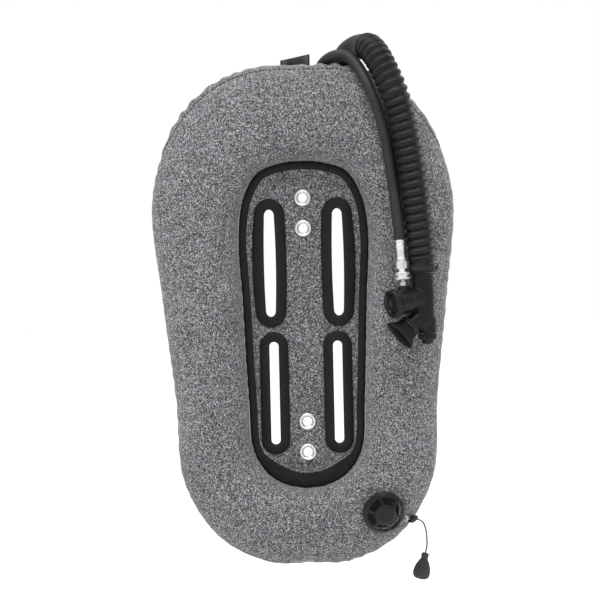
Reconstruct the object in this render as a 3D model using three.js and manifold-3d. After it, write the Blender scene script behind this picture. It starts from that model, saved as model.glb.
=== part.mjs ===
// A donut-style scuba buoyancy wing: a fabric ring bladder round a flat centre panel, with its
// corrugated inflator hose, power inflator, low-pressure hose and dump valve.
// Millimetres. +Z up, +X to the right and -Y towards the viewer of the tank side. The origin is the
// middle of the four bolt grommets, on the mid-plane of the centre panel.

import * as THREE from 'three';
import { mergeVertices } from 'three/addons/utils/BufferGeometryUtils.js';
import Module from 'manifold-3d';

const wasm = await Module();
wasm.setup();

// ---------------------------------------------------------------- driving dimensions

const GAP = 0.3; // between pieces that touch
const BOLT_SPACING = 279.4; // 11 in between backplate bolts
const BOLT_PITCH = 38.1; // the second row of grommets gives 1.5 in of height adjustment

const WING_STEPS = 36; // stations round the ring
const SKIN_STEPS = 6; // stations across the ring on each side
const ARC_STEPS = 6; // facets of each half circle of a slot
const BLADDER_STEPS = 3; // the same for the bladder, which is coarser
const CREST_SHIFT = 0.85; // under 1, the crest of the bulge lies nearer the inner edge
const SKIN_WALL = 2;
const FRONT_BULGE = 38;
const BACK_BULGE = 31;
const BLADDER_WALL = 1;
const BLADDER_SLACK = 1; // between the bladder and the fabric shell

// Half outlines from top centre to bottom centre, [x, z], point for point side by side.
const OUTER_HALF = [
  [0, 325], [58, 323], [112, 302], [157, 256], [189, 165], [179, 32],
  [165, -90], [156.5, -195], [113, -265], [51, -297], [0, -298.5],
];
const INNER_HALF = [
  [0, 205], [29, 202], [56, 191], [75, 158], [81.5, 112], [78, 32],
  [73, -90], [68, -156], [49, -186], [25, -200], [0, -204],
];
const BAND_WIDTH_SIDE = 10.2;
const BAND_WIDTH_BOTTOM = 19.5;

const STIFFENER_HALF = 1;
const PANEL_LAYER = 1.5;
const BAND_THICKNESS = 1.6;

// Cam-band slots: centre, size of the rubber guard and of the slot through it.
const SLOTS = [
  { name: 'upper', x: 42.5, z: 78, guard: [41, 165], slot: [14, 134] },
  { name: 'lower', x: 39.7, z: -84.5, guard: [36, 153], slot: [11.5, 128] },
];
const GUARD_RIM = 1.4;
const GUARD_COLLAR_WIDTH = 3.5;
const GUARD_HEIGHT = 4.6;
const BACK_GUARD_HEIGHT = 3;

const GROMMET_RADIUS = 10.5;
const GROMMET_HOLE = 5.5;
const GROMMET_BARREL = 6.3;
const PATCH = { width: 40, height: 81, z: -131, thickness: 0.7 };

const HOSE_RADIUS = 17.4;
const CUFF_RADIUS = 15.8;
const BARB_RADIUS = 12.2;
const TIE = { width: 5, thickness: 1.2 };
const LP_RADIUS = 7;
const CORD_RADIUS = 1.1;

// Centreline of the corrugated hose: out of the elbow, over the top edge, down the front.
const HOSE_ROUTE = [
  [54.8, 56.6, 318], [56, 53, 330], [61, 43, 340.5], [70, 28, 346.5], [80, 10, 347.5],
  [88, -12, 343.5], [96, -32, 331], [104.4, -47, 312], [113.2, -56.2, 290], [120.4, -57.2, 266],
  [126, -57.2, 241], [130.6, -57, 216], [134.3, -57, 190.6], [137.4, -56.8, 165.5],
  [140, -56.5, 140.4], [142.2, -56.2, 115.4], [144, -56, 90.3], [145.3, -56, 61.5],
];
const UPPER_CUFF_SHARE = 0.192; // of the whole route
const LOWER_CUFF_LENGTH = 15;

// Centreline of the low-pressure hose: from the quick-disconnect up the front, over the top edge,
// then hanging down behind the wing.
const LP_ROUTE = [
  [118.2, -60, 102.8], [117.5, -59.6, 115], [115.3, -54, 140], [112.7, -48.7, 166],
  [109.6, -46.5, 191], [104, -46, 229], [98.2, -46, 254], [91.9, -44.5, 276], [85.4, -40, 292],
  [77.8, -29.5, 309.5],
  [71.5, -18, 321.5], [63.4, -9, 331], [54.7, -3, 335.6], [44.7, 2.5, 335.8], [35.5, 9, 332.2],
  [28.3, 17.5, 325.5], [24.5, 27, 315], [23.4, 34, 300], [23, 38, 280], [23, 39.5, 255],
  [23, 39.5, 200], [23, 39, 140], [23, 39, 80],
];
const FITTING_TOP = [23, 39, 80];

// Quick-disconnect: its axis, from the crimp ferrule down to the nipple.
const QD_TOP = [118.2, -60, 102.8];
const QD_AXIS = [0.055, 0, -0.998];
const QD = { ferrule: 26, nut: 10, collar: 10, collarGap: 3.6 }; // lengths, and the collar's travel + 0.6

// Power inflator.
const INFLATOR = { x: 145.5, y: -56 };
const NECK = { radius: 13.4, top: 61.2, bottom: 43 };
const BARREL = { radius: 14, bottom: 2 };
const INFLATE_AXIS = [-0.85, -0.5, -0.16];
const INFLATE_ORIGIN_Z = 31;
const INFLATE = { boss: 39, bossRadius: 15.2, well: 17.5, ring: 8.5, ringRadius: 18, button: 10.2 };
const DEFLATE = { x: 150, radius: 11.2, top: 8, bottom: -13.5, bezel: 7.5, button: 7.2, travel: 4 };
const MOUTH_AXIS = [-0.7, -0.36, -0.617];
const MOUTH = { z: 12, stub: 30, start: 23, end: 44.5, rim: [21.5, 12.5], wall: 2 };

// Ports: where the elbow and the dump valve stand on the skin, and the way they face.
const ELBOW_PORT = { at: [54, 28.6, 288], axis: [0.05, 0.968, 0.245] };
const VALVE_PORT = { at: [90.3, -37, -231.5], axis: [0.2, -0.945, -0.26] };
const PORT_HOLE = 17;
const PORT_NECK = 15.5;
const VALVE = { radius: 26.5, height: 20.5, windows: 6, disc: 12.6 };

// Pull cord of the dump valve, from the outlet bush through the guide tab down to the knob.
const CORD_ROUTE = [
  [120.2, -31.3, -242.3], [125, -26.4, -243], [131, -21.5, -244], [136.5, -17, -245.5],
  [141, -13, -249], [144.1, -9.8, -257], [145.5, -7.8, -268], [145.4, -7, -278.5], [143.6, -6.7, -287],
];
const KNOB_AXIS = [-0.22, 0.03, -0.975];
const KNOB_LENGTH = 34;
const TAB = { share: 0.155, width: 4.8, height: 11, length: 9, holeWidth: 3.2, holeHeight: 4 };
const BUSH = { length: 3.7, radius: 4 };
// Webbing carry loop on the top edge.
const LOOP = { left: -24, right: 13, width: 21, top: 339.5, thickness: 2, near: 8, far: 41 };

const GREY_FABRIC = 0x717173;
const BLACK_FABRIC = 0x1c1c1e;
const BLACK_RUBBER = 0x1f1f21;
const BLACK_PLASTIC = 0x232427;
const CHROME = 0xc9cbce;

// ---------------------------------------------------------------- geometry helpers

const vec = (p) => new THREE.Vector3(...p);
const along = (origin, axis, distance) => vec(origin).addScaledVector(vec(axis).normalize(), distance);

// Merges shared vertices, turns the faces outwards and recomputes the normals.
function closed(geometry) {
  const plain = geometry.clone();
  plain.deleteAttribute('normal');
  plain.deleteAttribute('uv');
  const merged = mergeVertices(plain, 1e-4);
  const index = merged.index.array;
  const place = merged.attributes.position;
  const corner = [new THREE.Vector3(), new THREE.Vector3(), new THREE.Vector3()];
  const kept = [];
  let volume = 0;
  for (let i = 0; i < index.length; i += 3) {
    const [a, b, c] = [index[i], index[i + 1], index[i + 2]];
    if (a === b || b === c || c === a) continue;
    kept.push(a, b, c);
    corner.forEach((v, k) => v.fromBufferAttribute(place, index[i + k]));
    volume += corner[0].dot(corner[1].clone().cross(corner[2]));
  }
  if (volume < 0) {
    for (let i = 0; i < kept.length; i += 3) [kept[i], kept[i + 1]] = [kept[i + 1], kept[i]];
  }
  merged.setIndex(kept);
  merged.computeVertexNormals();
  return merged;
}

function toSolid(geometry) {
  const g = closed(geometry);
  return new wasm.Manifold(new wasm.Mesh({
    numProp: 3,
    vertProperties: new Float32Array(g.attributes.position.array),
    triVerts: new Uint32Array(g.index.array),
  }));
}

function fromSolid(solid) {
  const { vertProperties, triVerts } = solid.getMesh();
  const geometry = new THREE.BufferGeometry();
  geometry.setAttribute('position', new THREE.BufferAttribute(vertProperties, 3));
  geometry.setIndex(new THREE.BufferAttribute(triVerts, 1));
  geometry.computeVertexNormals();
  return geometry;
}

// One closed body from the first list joined, less everything in the second list.
function carve(joined, cuts = []) {
  let solid = toSolid(joined[0]);
  for (const piece of joined.slice(1)) solid = solid.add(toSolid(piece));
  for (const piece of cuts) solid = solid.subtract(toSolid(piece));
  return fromSolid(solid);
}

// Turns geometry made along +Y at the origin so that it starts at a point and runs along an axis.
function aim(geometry, origin, axis) {
  const upright = new THREE.Vector3(0, 1, 0);
  const turn = new THREE.Quaternion().setFromUnitVectors(upright, vec(axis).normalize());
  return geometry.applyQuaternion(turn).translate(...origin);
}

function rod(origin, axis, from, to, radius, sides = 16, endRadius = radius) {
  const length = to - from;
  const geometry = new THREE.CylinderGeometry(endRadius, radius, length, sides);
  geometry.translate(0, from + length / 2, 0);
  return aim(geometry, origin, axis);
}

// Turned piece from a closed profile of [radius, height along the axis].
function turned(origin, axis, profile, sides = 16) {
  const points = [...profile, profile[0]].map(([r, h]) => new THREE.Vector2(r, h));
  return aim(new THREE.LatheGeometry(points, sides), origin, axis);
}

const tubeRing = (origin, axis, from, to, inside, outside, sides) =>
  turned(origin, axis, [[inside, from], [outside, from], [outside, to], [inside, to]], sides);

// Ring with teeth round its rim, for grip.
function knurled(origin, axis, from, to, inside, outside, teeth, depth) {
  const shape = new THREE.Shape();
  for (let i = 0; i < teeth * 2; i += 1) {
    const angle = (i / (teeth * 2)) * 2 * Math.PI;
    const radius = i % 2 ? outside - depth : outside;
    const [x, y] = [radius * Math.cos(angle), radius * Math.sin(angle)];
    if (i) shape.lineTo(x, y);
    else shape.moveTo(x, y);
  }
  shape.closePath();
  shape.holes.push(circlePath(0, 0, inside, 16));
  const geometry = new THREE.ExtrudeGeometry(shape, { depth: to - from, bevelEnabled: false });
  geometry.rotateX(-Math.PI / 2).translate(0, from, 0);
  return aim(geometry, origin, axis);
}

// The stretch of a curve between two shares of its length.
class Stretch extends THREE.Curve {
  constructor(curve, from, to) {
    super();
    Object.assign(this, { curve, from, to });
  }

  getPoint(t, target = new THREE.Vector3()) {
    return this.curve.getPointAt(this.from + (this.to - this.from) * t, target);
  }
}

const splineThrough = (points) => new THREE.CatmullRomCurve3(points.map(vec), false, 'centripetal');

function hose(curve, radius, sides, steps) {
  const section = new THREE.Shape();
  for (let i = 0; i < sides; i += 1) {
    const angle = (i / sides) * 2 * Math.PI;
    const [x, y] = [radius * Math.cos(angle), radius * Math.sin(angle)];
    if (i) section.lineTo(x, y);
    else section.moveTo(x, y);
  }
  section.closePath();
  return new THREE.ExtrudeGeometry(section, { steps, extrudePath: curve, bevelEnabled: false });
}

class Helix extends THREE.Curve {
  constructor(radius, from, to, turns) {
    super();
    Object.assign(this, { radius, from, to, turns });
  }

  getPoint(t, target = new THREE.Vector3()) {
    const angle = t * this.turns * 2 * Math.PI;
    const height = this.from + (this.to - this.from) * t;
    return target.set(this.radius * Math.cos(angle), height, this.radius * Math.sin(angle));
  }
}

function spring(origin, axis, from, to, radius, wire, turns) {
  const coil = hose(new Helix(radius, from + wire, to - wire, turns), wire, 4, Math.round(turns * 7));
  return aim(coil, origin, axis);
}

// ---------------------------------------------------------------- materials and the assembly

const group = new THREE.Group();

function add(name, geometry, color, roughness, metalness = 0) {
  const material = new THREE.MeshStandardMaterial({ color, roughness, metalness });
  const mesh = new THREE.Mesh(closed(geometry), material);
  mesh.name = name;
  group.add(mesh);
}

// ---------------------------------------------------------------- outlines of the wing

function wholeOutline(half) {
  const left = half.slice(1, -1).reverse().map(([x, z]) => [-x, z]);
  const points = [...half, ...left].map(([x, z]) => new THREE.Vector3(x, 0, z));
  return new THREE.CatmullRomCurve3(points, true, 'centripetal');
}

const outerCurve = wholeOutline(OUTER_HALF);
const innerCurve = wholeOutline(INNER_HALF);
const stations = [...Array(WING_STEPS).keys()].map((i) => ({
  outer: outerCurve.getPoint(i / WING_STEPS),
  inner: innerCurve.getPoint(i / WING_STEPS),
}));

// Depth of the inflated ring, as a share of the full bulge, at a share t of the way across it.
const bulge = (t) => Math.sqrt(Math.max(0, 1 - Math.abs(2 * t ** CREST_SHIFT - 1) ** 2.1));
const spread = (j, steps) => (1 - Math.cos((Math.PI * j) / steps)) / 2;

// Points across one station of the ring, inset from its skin, from the inner edge to the outer edge.
function across({ inner, outer }, depth, inset, side, steps = SKIN_STEPS) {
  const width = inner.distanceTo(outer);
  const points = [];
  for (let j = 0; j <= steps; j += 1) {
    const t = spread(j, steps);
    const share = inset / width + t * (1 - (2 * inset) / width);
    const point = inner.clone().lerp(outer, share);
    point.y = side * (GAP / 2 + (depth - inset) * bulge(t));
    points.push(point);
  }
  return points;
}

// Closed surface through a loop of sections, each a closed loop of points.
function loft(sections) {
  const count = sections[0].length;
  const flat = sections.flat();
  const index = [];
  sections.forEach((_, i) => {
    const next = (i + 1) % sections.length;
    for (let j = 0; j < count; j += 1) {
      const k = (j + 1) % count;
      const [a, b, c, d] = [i * count + j, i * count + k, next * count + k, next * count + j];
      index.push(a, b, c, a, c, d);
    }
  });
  const geometry = new THREE.BufferGeometry().setFromPoints(flat);
  geometry.setIndex(index);
  return geometry;
}

const skin = (depth, side) => loft(stations.map((s) => [
  ...across(s, depth, 0, side),
  ...across(s, depth, SKIN_WALL, side).reverse(),
]));

function ringTube(inset, steps = BLADDER_STEPS) {
  return loft(stations.map((s) => [
    ...across(s, FRONT_BULGE, inset, -1, steps),
    ...across(s, BACK_BULGE, inset, 1, steps).reverse(),
  ]));
}

// ---------------------------------------------------------------- fabric shell and bladder

const portCut = (port) => rod(port.at, port.axis, -22, 12, PORT_HOLE, 20);

add('shell_front', carve([skin(FRONT_BULGE, -1)], [portCut(VALVE_PORT)]), GREY_FABRIC, 0.92);
add('shell_back', carve([skin(BACK_BULGE, 1)], [portCut(ELBOW_PORT)]), GREY_FABRIC, 0.92);
add('inner_bladder', carve(
  [ringTube(SKIN_WALL + BLADDER_SLACK)],
  [ringTube(SKIN_WALL + BLADDER_SLACK + BLADDER_WALL), portCut(VALVE_PORT), portCut(ELBOW_PORT)],
), 0x3a4652, 0.5);

// ---------------------------------------------------------------- centre panel

// The inner outline of the ring, moved inwards by a distance that may depend on the height.
function insetOutline(distanceAt) {
  return stations.map(({ inner }, i) => {
    const before = stations[(i + WING_STEPS - 1) % WING_STEPS].inner;
    const after = stations[(i + 1) % WING_STEPS].inner;
    const run = after.clone().sub(before).normalize();
    const distance = distanceAt(inner.z);
    return new THREE.Vector2(inner.x + run.z * distance, inner.z - run.x * distance);
  });
}

function arcPoints(x, z, radius, from, to, steps, closes = false) {
  const count = closes ? steps : steps + 1;
  return [...Array(count).keys()].map((i) => {
    const angle = from + ((to - from) * i) / steps;
    return new THREE.Vector2(x + radius * Math.cos(angle), z + radius * Math.sin(angle));
  });
}

function circlePath(x, z, radius, steps = 12) {
  return new THREE.Path(arcPoints(x, z, radius, 0, 2 * Math.PI, steps, true));
}

function rectanglePoints(width, height, x = 0, z = 0) {
  const corners = [[-1, -1], [1, -1], [1, 1], [-1, 1]];
  return corners.map(([i, k]) => new THREE.Vector2(x + (i * width) / 2, z + (k * height) / 2));
}

// A stadium: two half circles joined by straight sides, grown outwards by a margin.
function stadiumPath(x, z, width, height, margin) {
  const straight = (height - width) / 2;
  const radius = width / 2 + margin;
  return new THREE.Path([
    ...arcPoints(x, z + straight, radius, 0, Math.PI, ARC_STEPS),
    ...arcPoints(x, z - straight, radius, Math.PI, 2 * Math.PI, ARC_STEPS),
  ]);
}

const slotPlaces = SLOTS.flatMap((slot) => [-1, 1].map((side) => ({
  ...slot, x: side * slot.x, label: `${slot.name}_${side < 0 ? 'left' : 'right'}`,
})));
const grommetPlaces = [1, -1].flatMap((half) => (
  [1, -1].map((row) => (half * (BOLT_SPACING + row * BOLT_PITCH)) / 2)
));
const grommetLabels = ['top', 'upper', 'bottom', 'lower'];

// Flat layer lying between two depths, drawn in the X-Z plane.
function layer(shape, front, back) {
  const geometry = new THREE.ExtrudeGeometry(shape, { depth: back - front, bevelEnabled: false });
  return geometry.rotateX(Math.PI / 2).translate(0, back, 0);
}

function panelLayer(inset, front, back) {
  const shape = new THREE.Shape(insetOutline(() => inset));
  for (const { x, z, slot } of slotPlaces) {
    shape.holes.push(stadiumPath(x, z, ...slot, GUARD_COLLAR_WIDTH + GAP));
  }
  for (const z of grommetPlaces) shape.holes.push(circlePath(0, z, GROMMET_BARREL + 2 * GAP));
  return layer(shape, front, back);
}

const panelFront = -STIFFENER_HALF - GAP;
const panelFace = panelFront - PANEL_LAYER;
const bandWidth = (z) => {
  const share = THREE.MathUtils.smoothstep(-z, 156, 196);
  return BAND_WIDTH_SIDE + (BAND_WIDTH_BOTTOM - BAND_WIDTH_SIDE) * share;
};

function band(front, back) {
  const rim = insetOutline(() => GAP);
  const edge = insetOutline((z) => GAP + bandWidth(z));
  return loft(rim.map((outer, i) => [[outer, front], [edge[i], front], [edge[i], back], [outer, back]]
    .map(([point, y]) => new THREE.Vector3(point.x, y, point.y))));
}

add('panel_stiffener', panelLayer(2, -STIFFENER_HALF, STIFFENER_HALF), 0x2a2b2d, 0.6);
add('centre_panel_front', panelLayer(GAP, panelFace, panelFront), GREY_FABRIC, 0.92);
add('centre_panel_back', panelLayer(GAP, -panelFront, -panelFace), GREY_FABRIC, 0.92);
const bandFace = panelFace - GAP - BAND_THICKNESS;
add('ring_band_front', band(bandFace, panelFace - GAP), BLACK_FABRIC, 0.6);
add('ring_band_back', band(-panelFace + GAP, -bandFace), BLACK_FABRIC, 0.6);

// ---------------------------------------------------------------- slot guards

// Stadium ring whose cross-section is a list of [distance out from the slot wall, depth]. The top of each
// guard has a flat land, which the tank or the backplate bears on.
function stadiumRing({ x, z, slot: [width, height] }, section) {
  const straight = (height - width) / 2;
  const sections = [];
  for (const [end, start] of [[1, 0], [-1, Math.PI]]) {
    for (let i = 0; i <= ARC_STEPS; i += 1) {
      const angle = start + (Math.PI * i) / ARC_STEPS;
      sections.push(section.map(([out, y]) => new THREE.Vector3(
        x + (width / 2 + out) * Math.cos(angle),
        y,
        z + end * straight + (width / 2 + out) * Math.sin(angle),
      )));
    }
  }
  return loft(sections);
}

const guardSeat = panelFace - GAP;
for (const place of slotPlaces) {
  const flange = (place.guard[0] - place.slot[0]) / 2;
  add(`slot_guard_front_${place.label}`, stadiumRing(place, [
    [0, -panelFace + GAP], [GUARD_COLLAR_WIDTH, -panelFace + GAP], [GUARD_COLLAR_WIDTH, guardSeat],
    [flange, guardSeat], [flange, guardSeat - GUARD_RIM], [flange * 0.7, guardSeat - GUARD_HEIGHT * 0.7],
    [flange * 0.42, guardSeat - GUARD_HEIGHT], [flange * 0.2, guardSeat - GUARD_HEIGHT],
    [0, guardSeat - GUARD_HEIGHT * 0.6],
  ]), BLACK_RUBBER, 0.75);
  const backSeat = -panelFace + GAP * 2;
  add(`slot_guard_back_${place.label}`, stadiumRing(place, [
    [0, backSeat], [flange * 0.8, backSeat], [flange * 0.8, backSeat + GUARD_RIM],
    [flange * 0.42, backSeat + BACK_GUARD_HEIGHT], [flange * 0.2, backSeat + BACK_GUARD_HEIGHT],
    [0, backSeat + BACK_GUARD_HEIGHT * 0.6],
  ]), BLACK_RUBBER, 0.75);
}

// ---------------------------------------------------------------- grommets and patch

const patchShape = new THREE.Shape(rectanglePoints(PATCH.width, PATCH.height, 0, PATCH.z));
for (const z of grommetPlaces.filter((place) => place < 0)) {
  patchShape.holes.push(circlePath(0, z, GROMMET_BARREL + 2 * GAP));
}
const patchFace = panelFace - GAP - PATCH.thickness;
add('grommet_patch', layer(patchShape, patchFace, patchFace + PATCH.thickness), GREY_FABRIC, 0.92);

grommetPlaces.forEach((z, i) => {
  const face = z < 0 ? patchFace : panelFace;
  const frontward = [0, -1, 0];
  add(`grommet_${grommetLabels[i]}`, turned([0, 0, z], frontward, [
    [GROMMET_HOLE, panelFace], [GROMMET_BARREL, panelFace], [GROMMET_BARREL, -face + GAP],
    [GROMMET_RADIUS, -face + GAP], [GROMMET_RADIUS * 0.75, -face + GAP + 1.8],
    [GROMMET_HOLE, -face + GAP + 0.8],
  ], 12), CHROME, 0.25, 1);
  add(`grommet_washer_${grommetLabels[i]}`, tubeRing(
    [0, 0, z], frontward, panelFace - GAP - 1, panelFace - GAP, GROMMET_HOLE, GROMMET_RADIUS - 0.5, 12,
  ), CHROME, 0.3, 1);
});

// ---------------------------------------------------------------- carry loop on the top edge

function carryLoop() {
  const { left, right, near, far, thickness } = LOOP;
  const middle = (left + right) / 2;
  const shape = new THREE.Shape();
  shape.moveTo(left, near);
  shape.quadraticCurveTo(middle - 12, far, middle, far);
  shape.quadraticCurveTo(middle + 12, far, right, near);
  shape.lineTo(right - 4, near);
  shape.quadraticCurveTo(middle + 10, far - 2 - thickness, middle, far - thickness);
  shape.quadraticCurveTo(middle - 10, far - 2 - thickness, left + 4, near);
  shape.closePath();
  const settings = { depth: LOOP.width, bevelEnabled: false, curveSegments: 8 };
  const geometry = new THREE.ExtrudeGeometry(shape, settings);
  geometry.translate(0, 0, LOOP.top - LOOP.width);
  const lean = new THREE.Matrix4().makeShear(0, 0.25, 0, 0, 0, 0);
  return geometry.translate(-right, 0, 0).applyMatrix4(lean).translate(right, 0, 0);
}
// Its ends are trimmed to stand on the shell.
add('carry_loop', carve([carryLoop()], [ringTube(-2 * GAP, SKIN_STEPS)]), 0x333338, 0.85);

// ---------------------------------------------------------------- elbow and corrugated hose

add('elbow_base', turned(ELBOW_PORT.at, ELBOW_PORT.axis, [
  [12, -14], [18.5, -14], [18.5, -12], [PORT_NECK, -12], [PORT_NECK, 6], [12, 6],
], 16), BLACK_PLASTIC, 0.5);
add('elbow_gasket', tubeRing(
  ELBOW_PORT.at, ELBOW_PORT.axis, 1.2, 3, PORT_NECK + GAP, 22, 16,
), BLACK_RUBBER, 0.8);
add('elbow_retaining_ring', knurled(
  ELBOW_PORT.at, ELBOW_PORT.axis, 3.3, 11, PORT_NECK + 2.4, 22.5, 18, 1,
), BLACK_PLASTIC, 0.5);

const hoseCurve = splineThrough(HOSE_ROUTE);
const outlet = vec(HOSE_ROUTE[0]);
const outletAxis = hoseCurve.getTangentAt(0).toArray();
const elbowStart = along(ELBOW_PORT.at, ELBOW_PORT.axis, 6 + GAP);
const elbowCurve = new THREE.CatmullRomCurve3([
  elbowStart, along(elbowStart.toArray(), ELBOW_PORT.axis, 7),
  along(elbowStart.toArray(), ELBOW_PORT.axis, 18).add(new THREE.Vector3(0, 0, 5)),
  along(HOSE_ROUTE[0], outletAxis, -8), outlet,
], false, 'centripetal');
add('elbow', carve(
  [
    hose(elbowCurve, 14.6, 10, 7),
    rod(HOSE_ROUTE[0], outletAxis, -1, 13, BARB_RADIUS, 12),
    rod(elbowStart.toArray(), ELBOW_PORT.axis, 0, 4.4, 17.4, 16),
  ],
  [
    hose(elbowCurve, 9.6, 6, 7),
    rod(HOSE_ROUTE[0], outletAxis, -2, 14, 9.6, 8),
    rod(elbowStart.toArray(), ELBOW_PORT.axis, -1, 2, 9.6, 8),
  ],
), BLACK_PLASTIC, 0.4);

const upperCuff = new Stretch(hoseCurve, 0.0008, UPPER_CUFF_SHARE);
add('hose_cuff_upper', carve(
  [hose(upperCuff, CUFF_RADIUS, 12, 8)],
  [rod(HOSE_ROUTE[0], outletAxis, -3, 13.5, BARB_RADIUS + 2 * GAP, 12)],
), BLACK_RUBBER, 0.55);
const hoseLength = hoseCurve.getLength();
const tieShare = 7.5 / hoseLength;
const tieInside = CUFF_RADIUS + 4 * GAP;
add('cable_tie_upper', tubeRing(
  hoseCurve.getPointAt(tieShare).toArray(),
  hoseCurve.getTangentAt(tieShare).toArray(),
  -TIE.width / 2, TIE.width / 2, tieInside, tieInside + TIE.thickness, 16,
), BLACK_PLASTIC, 0.5);

const ribbedStretch = new Stretch(
  hoseCurve, UPPER_CUFF_SHARE + GAP / hoseLength, 1 - (LOWER_CUFF_LENGTH + GAP) / hoseLength,
);
add('corrugated_hose', hose(ribbedStretch, HOSE_RADIUS, 10, 24), BLACK_RUBBER, 0.45);

const up = [0, 0, 1];
const down = [0, 0, -1];
const lowerEnd = [INFLATOR.x, INFLATOR.y, HOSE_ROUTE[HOSE_ROUTE.length - 1][2]];
add('hose_cuff_lower', turned(lowerEnd, up, [
  [BARB_RADIUS + GAP, 0], [CUFF_RADIUS - 0.6, 0], [CUFF_RADIUS, 10],
  [CUFF_RADIUS, LOWER_CUFF_LENGTH - 0.6], [BARB_RADIUS + GAP, LOWER_CUFF_LENGTH - 0.6],
], 16), BLACK_RUBBER, 0.55);
add('cable_tie_lower', tubeRing(
  lowerEnd, up, 3, 3 + TIE.width, CUFF_RADIUS + 2 * GAP, CUFF_RADIUS + GAP + TIE.thickness, 16,
), BLACK_PLASTIC, 0.5);

// ---------------------------------------------------------------- power inflator

const onBarrel = (z) => [INFLATOR.x, INFLATOR.y, z];
const inflateFrom = onBarrel(INFLATE_ORIGIN_Z);
const mouthFrom = onBarrel(MOUTH.z);
const deflateFrom = [DEFLATE.x, INFLATOR.y, 0];
const nippleEnd = along(QD_TOP, QD_AXIS, QD.ferrule + QD.nut + QD.collarGap + QD.collar + 2.2);
const nippleSeat = nippleEnd.toArray();
const wellFloor = INFLATE.boss - INFLATE.well; // of the well that holds the button's spring

const inflatorBody = carve(
  [
    rod(onBarrel(0), up, BARREL.bottom, NECK.bottom, BARREL.radius, 18),
    rod(onBarrel(0), up, NECK.bottom - 1, NECK.top, NECK.radius, 18),
    rod(onBarrel(0), up, NECK.top - 1, NECK.top + 13, BARB_RADIUS, 16),
    rod(inflateFrom, INFLATE_AXIS, 0, INFLATE.boss, INFLATE.bossRadius, 18),
    rod(mouthFrom, MOUTH_AXIS, -8, MOUTH.stub, 11, 16),
    rod(deflateFrom, up, DEFLATE.bottom, DEFLATE.top, DEFLATE.radius, 16),
    rod(nippleSeat, QD_AXIS, 5.5, 22, 7.6, 12),
    new THREE.SphereGeometry(BARREL.radius * 0.995, 14, 8).translate(...onBarrel(BARREL.bottom + 2)),
  ],
  [
    rod(onBarrel(0), up, 6, NECK.top + 14, 8.5, 8),
    rod(mouthFrom, MOUTH_AXIS, -2, MOUTH.stub + 1, 8.2, 8),
    rod(deflateFrom, up, DEFLATE.bottom - 1, 2, 6, 8),
    rod(inflateFrom, INFLATE_AXIS, wellFloor, INFLATE.boss + 1, 6.2, 8),
    rod(inflateFrom, INFLATE_AXIS, 6, wellFloor + 0.5, 2.2, 8),
    rod(nippleSeat, QD_AXIS, 4, 14, 3.9, 10),
  ],
);
add('inflator_body', inflatorBody, BLACK_PLASTIC, 0.42);

const ringFrom = INFLATE.boss + GAP;
add('inflate_button_ring', knurled(
  inflateFrom, INFLATE_AXIS, ringFrom, ringFrom + INFLATE.ring,
  INFLATE.button + 0.6, INFLATE.ringRadius, 20, 1.1,
), BLACK_PLASTIC, 0.4);
const buttonFace = ringFrom + INFLATE.ring - 1.5;
add('inflate_button', turned(inflateFrom, INFLATE_AXIS, [
  [0, wellFloor + 8.5], [2.4, wellFloor + 8.5], [2.4, buttonFace - 2.8], [INFLATE.button, buttonFace - 2.8],
  [INFLATE.button, buttonFace], [6.5, buttonFace - 0.2], [0, buttonFace - 1.1],
], 14), BLACK_PLASTIC, 0.35);
add('inflate_spring', spring(
  inflateFrom, INFLATE_AXIS, wellFloor + 0.6, buttonFace - 3.1, 4.4, 0.6, 4,
), CHROME, 0.3, 1);

const bezelTop = DEFLATE.bottom - GAP;
const bezelBottom = bezelTop - DEFLATE.bezel;
add('deflate_button_bezel', knurled(
  deflateFrom, up, bezelBottom, bezelTop, DEFLATE.button + 0.5, DEFLATE.radius, 16, 0.6,
), BLACK_PLASTIC, 0.4);
add('deflate_button', turned(deflateFrom, up, [
  [0, bezelBottom - 5], [DEFLATE.button - 1, bezelBottom - 5], [DEFLATE.button, bezelBottom - 4],
  [DEFLATE.button, bezelTop - 1.5 - DEFLATE.travel], [2.4, bezelTop - 1.5 - DEFLATE.travel],
  [2.4, -7.5], [0, -7.5],
], 14), BLACK_PLASTIC, 0.35);
add('deflate_spring', spring(
  deflateFrom, up, bezelTop - 1.2 - DEFLATE.travel, 1.8, 4.2, 0.6, 4,
), CHROME, 0.3, 1);

// Mouthpiece: an oval rubber cup that grows out of a round sleeve.
function mouthpiece() {
  const { start, end, rim, wall } = MOUTH;
  const axis = vec(MOUTH_AXIS).normalize();
  const wide = new THREE.Vector3(0.7, 0, -0.714).projectOnPlane(axis).normalize();
  const narrow = axis.clone().cross(wide);
  const steps = 16;
  const rows = [];
  const profile = [
    [start, 13.4, 13.4], [start + 7, 13.4, 13], [end - 4, rim[0] - 1.8, rim[1] - 0.4], [end, ...rim],
    [end, rim[0] - wall, rim[1] - wall], [end - 5, rim[0] - wall - 3, rim[1] - wall - 1.2],
    [MOUTH.stub + GAP, 8.4, 8.2], [MOUTH.stub + GAP, 11.4, 11.4], [start, 11.4, 11.4],
  ];
  for (let i = 0; i < steps; i += 1) {
    const angle = (i / steps) * 2 * Math.PI;
    rows.push(profile.map(([h, a, b]) => vec(mouthFrom).addScaledVector(axis, h)
      .addScaledVector(wide, a * Math.cos(angle)).addScaledVector(narrow, b * Math.sin(angle))));
  }
  return loft(rows);
}
add('mouthpiece', mouthpiece(), BLACK_RUBBER, 0.6);

// ---------------------------------------------------------------- quick-disconnect and low-pressure hose

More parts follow.
